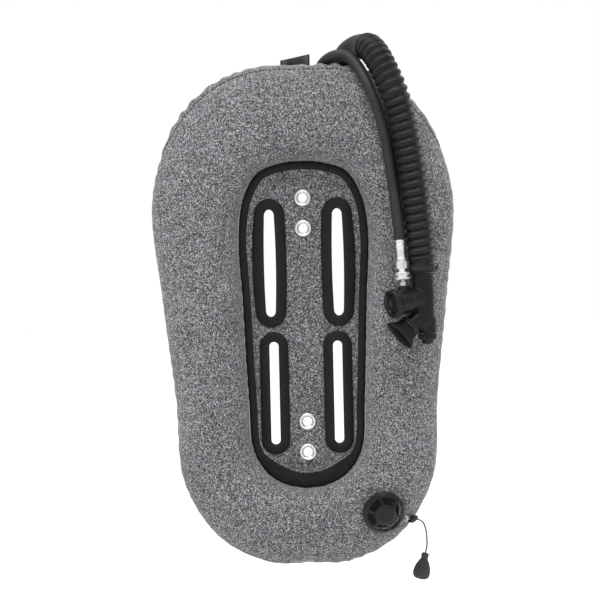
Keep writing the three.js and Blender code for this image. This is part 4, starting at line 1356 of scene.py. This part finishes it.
def mouthpiece():
    """Rubber mouthpiece: a round sleeve that opens into an oval, rolled lip."""
    axis = Vector(MOUTH_AXIS).normalized()
    wide = Vector((0.7, 0, -0.714))
    wide = (wide - axis * wide.dot(axis)).normalized()
    narrow = axis.cross(wide)
    section = [  # height, and the two half widths
        (23.1, 13.0, 13.0), (23.7, 13.5, 13.4), (26.5, 13.5, 13.4), (27.5, 12.9, 12.7),
        (30.5, 13.1, 12.4), (34, 14.4, 11.9), (38, 17.2, 11.8), (41, 19.6, 12.0), (43, 21.1, 12.4),
        (44, 21.4, 12.5), (44.5, 20.9, 12.0), (44.2, 19.9, 11), (43, 18.3, 10.2), (39.5, 15.4, 9.3),
        (35.5, 12.3, 8.8), (32, 9.2, 8.4), (30.4, 8.4, 8.2), (30.4, 11.5, 11.5), (23.1, 11.5, 11.5),
    ]
    rows = []
    for k in range(72):
        c, s = math.cos(TURN * k / 72) * MM, math.sin(TURN * k / 72) * MM
        rows.append([Vector(MOUTH_FROM) + axis * (h * MM) + wide * (a * c) + narrow * (b * s)
                     for h, a, b in section])
    finished(loft("mouthpiece_rubber", rows), "guard_rubber", replaces=["mouthpiece"])
    tie = turned("mouthpiece_tie", MOUTH_FROM, MOUTH_AXIS, band(13.2, 14, 27.8, 30), soft=0.2)
    finished(tie, "tie_plastic")


mouthpiece()

# ---------------------------------------------------------------- quick-disconnect and hose ends


def crimped(r, h, angle):
    return r - 0.12 * (0.5 + 0.5 * math.cos(12 * angle)) if r > 6.2 else r


def hexagon(r, h, angle):
    """Six flats on every point outside 6 mm, with the corners cut back near both ends."""
    flat = 6.75 / math.cos((angle + math.pi / 6) % (math.pi / 3) - math.pi / 6)
    return min(flat, r) if r > 6 else r


def threaded(r, h, angle):
    """The hexagon, and a thread of 1 mm pitch beyond it."""
    if h < 32.5 or r < 4.2 or r > 6:
        return hexagon(r, h, angle)
    return r - 0.18 + 0.18 * math.cos(TURN * h + angle)


def quick_disconnect():
    at = (QD_TOP, QD_AXIS)
    ferrule = fitted("hose_ferrule_crimped", "nickel", "hose_ferrule", *at, [
        (0, 0.7), (6.5, 0.7), (6.95, 1.3), (6.95, 4.4), (6.3, 5.2), (6.3, 6.2), (6.9, 7), (6.9, 9.6),
        (6.35, 10.6), (6.1, 16), (6.2, 22), (6.75, 23), (6.75, 25.4), (6.2, 26), (0, 26),
    ], sides=96, shape=crimped, sharp=30)
    nut = fitted("hose_nut_hex", "nickel", "hose_nut", *at, [
        (3.7, 26.4), (6.9, 26.4), (7.6, 27.2), (7.6, 35.4), (6.9, 36.2), (5.1, 36.3), (5.1, 46.6),
        (3.7, 46.6),
    ], sides=96, shape=hexagon, sharp=25, soft=0.25)
    collar = fitted("qd_collar_knurled", "nickel", "qd_collar", *at, [
        (5.75, 40), (7.8, 40), (8.5, 40.9), (8.5, 43.4), (8.0, 44), (8.0, 46), (8.5, 46.6), (8.5, 49),
        (7.8, 49.8), (5.75, 49.8),
    ], "quick_disconnect_collar", sides=192, shape=teeth(32, 0.3, 8.2), soft=0.2)
    fitted("qd_nipple_turned", "nickel", "qd_nipple", *at, [
        (0, 41), (3.1, 41), (3.1, 52), (3.7, 52.6), (4.9, 52.8), (4.9, 54.6), (4.1, 55.2), (4.9, 55.8),
        (4.9, 56.8), (3.2, 57.4), (3.2, 63.9), (0, 63.9),
    ], soft=0.2, sharp=35)
    return [ferrule, nut, collar]


def first_stage_end():
    at = (LP_ROUTE[-1], (0, 0, -1))
    ferrule = fitted("first_stage_ferrule_crimped", "nickel", "first_stage_ferrule", *at, [
        (0, 0.4), (6.7, 0.4), (6.9, 1), (6.9, 4), (6.3, 5), (6.1, 14), (6.2, 18), (6.8, 19), (6.8, 21.4),
        (6.2, 22), (0, 22),
    ], sides=96, shape=crimped, sharp=30)
    threads = [(4.65, 32.6 + 0.25 * k) for k in range(29)]
    fitting = fitted("first_stage_fitting_turned", "nickel", "first_stage_fitting", *at, [
        (0, 22.4), (6.9, 22.4), (7.6, 23.2), (7.6, 29.2), (6.9, 30), (4.0, 30.1), (4.0, 32.2), *threads,
        (4.1, 40), (2, 40), (2, 33), (0, 33),
    ], sides=96, shape=threaded, sharp=25, soft=0.2)
    return [ferrule, fitting]


lp_ends = quick_disconnect() + first_stage_end()
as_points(lp_line)

# ---------------------------------------------------------------- dump valve

SPOKES = 6
SPOKE_FROM, SPOKE_TO = 12.4, 23.0  # radius, in millimetres
SPOKE_STEPS = 10


def spoke(number):
    """One sloping spoke, flared at both ends, with rounded upper edges."""
    place = towards(VALVE_AT, VALVE_AXIS)
    angle = TURN * number / SPOKES
    sections = []
    for k in range(SPOKE_STEPS + 1):
        t = k / SPOKE_STEPS
        r = SPOKE_FROM + (SPOKE_TO - SPOKE_FROM) * t
        half = (1.8 + 1.9 * abs(2 * t - 1) ** 2.5) / r
        top = 17 - 5.6 * t
        right = [(half * 0.7, top), (half, top - 0.3), (half, top - 1.9)]
        left = [(-a, h) for a, h in reversed(right)]
        sections.append([place @ (Vector((r * math.cos(angle + a), r * math.sin(angle + a), h)) * MM)
                         for a, h in left + right])
    return loft(f"spoke_{number}", sections, closed=False)


def dump_valve():
    """Vent cap: a gripped rim, windows between spokes and a domed middle with a small nub."""
    at = (VALVE_AT, VALVE_AXIS)
    rim = turned("dump_valve_rim", *at, [
        (23.4, 2.2), (25.4, 2.2), (26.4, 3.2), (26.4, 8), (25.6, 9), (22.6, 11.6), (21.8, 11.7),
        (21.6, 10.8), (23.2, 9),
    ], 288, shape=teeth(48, 0.8, 25.9), soft=0.3)
    dome = turned("dump_valve_dome", *at, [
        (0, 15.4), (10, 14.6), (12.6, 13.8), (13.6, 14.6), (13.2, 16.4), (11, 18), (7.4, 18.9), (4.4, 19),
        (3.7, 20.3), (0, 20.4),
    ], 96, soft=0.4, sharp=50)
    piece = join("dump_valve_cap_moulding", [rim, dome, *(spoke(n) for n in range(SPOKES))])
    piece.data.set_sharp_from_angle(angle=math.radians(42))
    finished(piece, "knurled_plastic", replaces=["dump_valve_cap"])
    fitted("dump_valve_disc_seal", "seal_rubber", "dump_valve_disc", *at, [
        (0, 3.5), (12.5, 3.5), (12.5, 4.9), (1.7, 4.9), (1.7, 7.3), (0, 7.3),
    ], "dump_valve_disc")
    fitted("dump_valve_gasket_ring", "seal_rubber", "dump_valve_gasket", *at, band(15.9, 20.9, 0.45, 1.75),
           sides=72)


dump_valve()


def cord_outlet():
    way = (cord_line[1] - cord_line[0]).normalized()
    fitted("cord_outlet_bush_turned", "bush_plastic", "cord_outlet_bush", cord_line[0], way, [
        (1.2, -4), (4.3, -4), (4.6, -3.2), (3.6, -1.6), (3.4, -0.6), (2.6, -0.35), (1.2, -0.35),
    ], sides=48, sharp=50)


def cord_guide():
    """Folded tab of tape round the cord, beside the outlet."""
    fine = resample(cord_line, 200)
    at, ahead = fine[31], fine[33]
    place = towards(at, ahead - at)
    rows = []
    for k in range(40):
        angle = TURN * k / 40
        c, s = math.cos(angle), math.sin(angle)
        across, up = math.copysign(abs(c) ** 0.35, c), math.copysign(abs(s) ** 0.35, s)
        fold = 0.25 * math.sin(3 * angle + 1)
        half = [(1.6, 1.6, 4.3), (2.2, 5.2, 4.5), (2.5 + fold, 5.6, 3.9)]
        section = [(a, b, -h) for a, b, h in half] + [(2.7, 5.8, 0)] + half[::-1]
        rows.append([place @ (Vector((across * a, up * b, h)) * MM) for a, b, h in section])
    finished(loft("cord_guide_tab_fabric", rows), "black_binding", replaces=["cord_guide_tab"])


cord_outlet()
cord_guide()


def pull_knob():
    """Fluted teardrop knob with a necked eye for the cord at its top."""
    def flutes(r, h, angle):
        if h < 7 or r < 3:
            return r
        depth = 1.15 * smoothstep(h, 6, 12) * (1 - smoothstep(h, 29, 33))
        return r - depth * (0.5 - 0.5 * math.cos(12 * angle)) ** 2

    return fitted("pull_knob_fluted", "knob_plastic", "pull_knob", CORD_ROUTE[-1], (-0.22, 0.03, -0.975), [
        (0, 0.4), (3.2, 0.4), (4.4, 1.2), (4.8, 3), (4.7, 5.4), (4.2, 7.2), (4.9, 8.8), (6.8, 11.8),
        (8.9, 16), (10.4, 21), (11, 25.6), (10.5, 29.2), (8.8, 32), (6.2, 33.4), (3, 33.9), (0, 33.9),
    ], "pull_knob", sides=144, soft=1.2, shape=flutes, sharp=60)


knob = pull_knob()
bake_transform(cord_piece)
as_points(cord_line)

# ---------------------------------------------------------------- hidden CAD pieces, floor and light

HIDDEN = {
    "inner_bladder": "bladder_film", "panel_stiffener": "stiffener_board", "elbow_base": "black_plastic",
    "elbow_gasket": "seal_rubber", "dump_valve_base": "black_plastic", "first_stage_o_ring": "seal_rubber",
}
for node, slot in HIDDEN.items():
    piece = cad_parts[node]
    piece.data.materials.clear()
    piece.data.materials.append(MATERIALS[slot])


def floor():
    m = Nodes("floor", roughness=0.85)
    m.color(m.ramp(m.noise(3, 3.0, 0.5), (0.3, grey(0.94)), (0.7, grey(0.965))))
    side, z = 30.0, CAD_BOX[0].z - 0.05
    corners = [(-side, -side, z), (side, -side, z), (side, side, z), (-side, side, z)]
    piece = new_object("floor", corners, [(0, 1, 2, 3)])
    piece.data.materials.append(m.material)


def lamp(name, kind, energy, place):
    """A lamp that points at the middle of the wing."""
    data = bpy.data.lights.new(name, kind)
    data.energy = energy
    piece = bpy.data.objects.new(name, data)
    piece.location = place
    piece.rotation_euler = (-Vector(place)).to_track_quat("-Z", "Y").to_euler()
    bpy.context.collection.objects.link(piece)
    return data


def studio():
    """White surroundings, a wide soft lamp overhead and a weak one from behind."""
    world = bpy.data.worlds.new("world")
    bpy.context.scene.world = world
    world.use_nodes = True
    background = world.node_tree.nodes["Background"]
    background.inputs["Color"].default_value = (1, 1, 1, 1)
    background.inputs["Strength"].default_value = 1.0
    bpy.context.scene.view_settings.view_transform = "Standard"
    overhead = lamp("overhead", "AREA", 135, (-0.6, -1.3, 3.3))
    overhead.shape = "RECTANGLE"
    overhead.size, overhead.size_y = 5.0, 0.9
    lamp("rim", "SUN", 0.8, (1.6, 1.2, 1.5)).angle = math.radians(25)


floor()
studio()
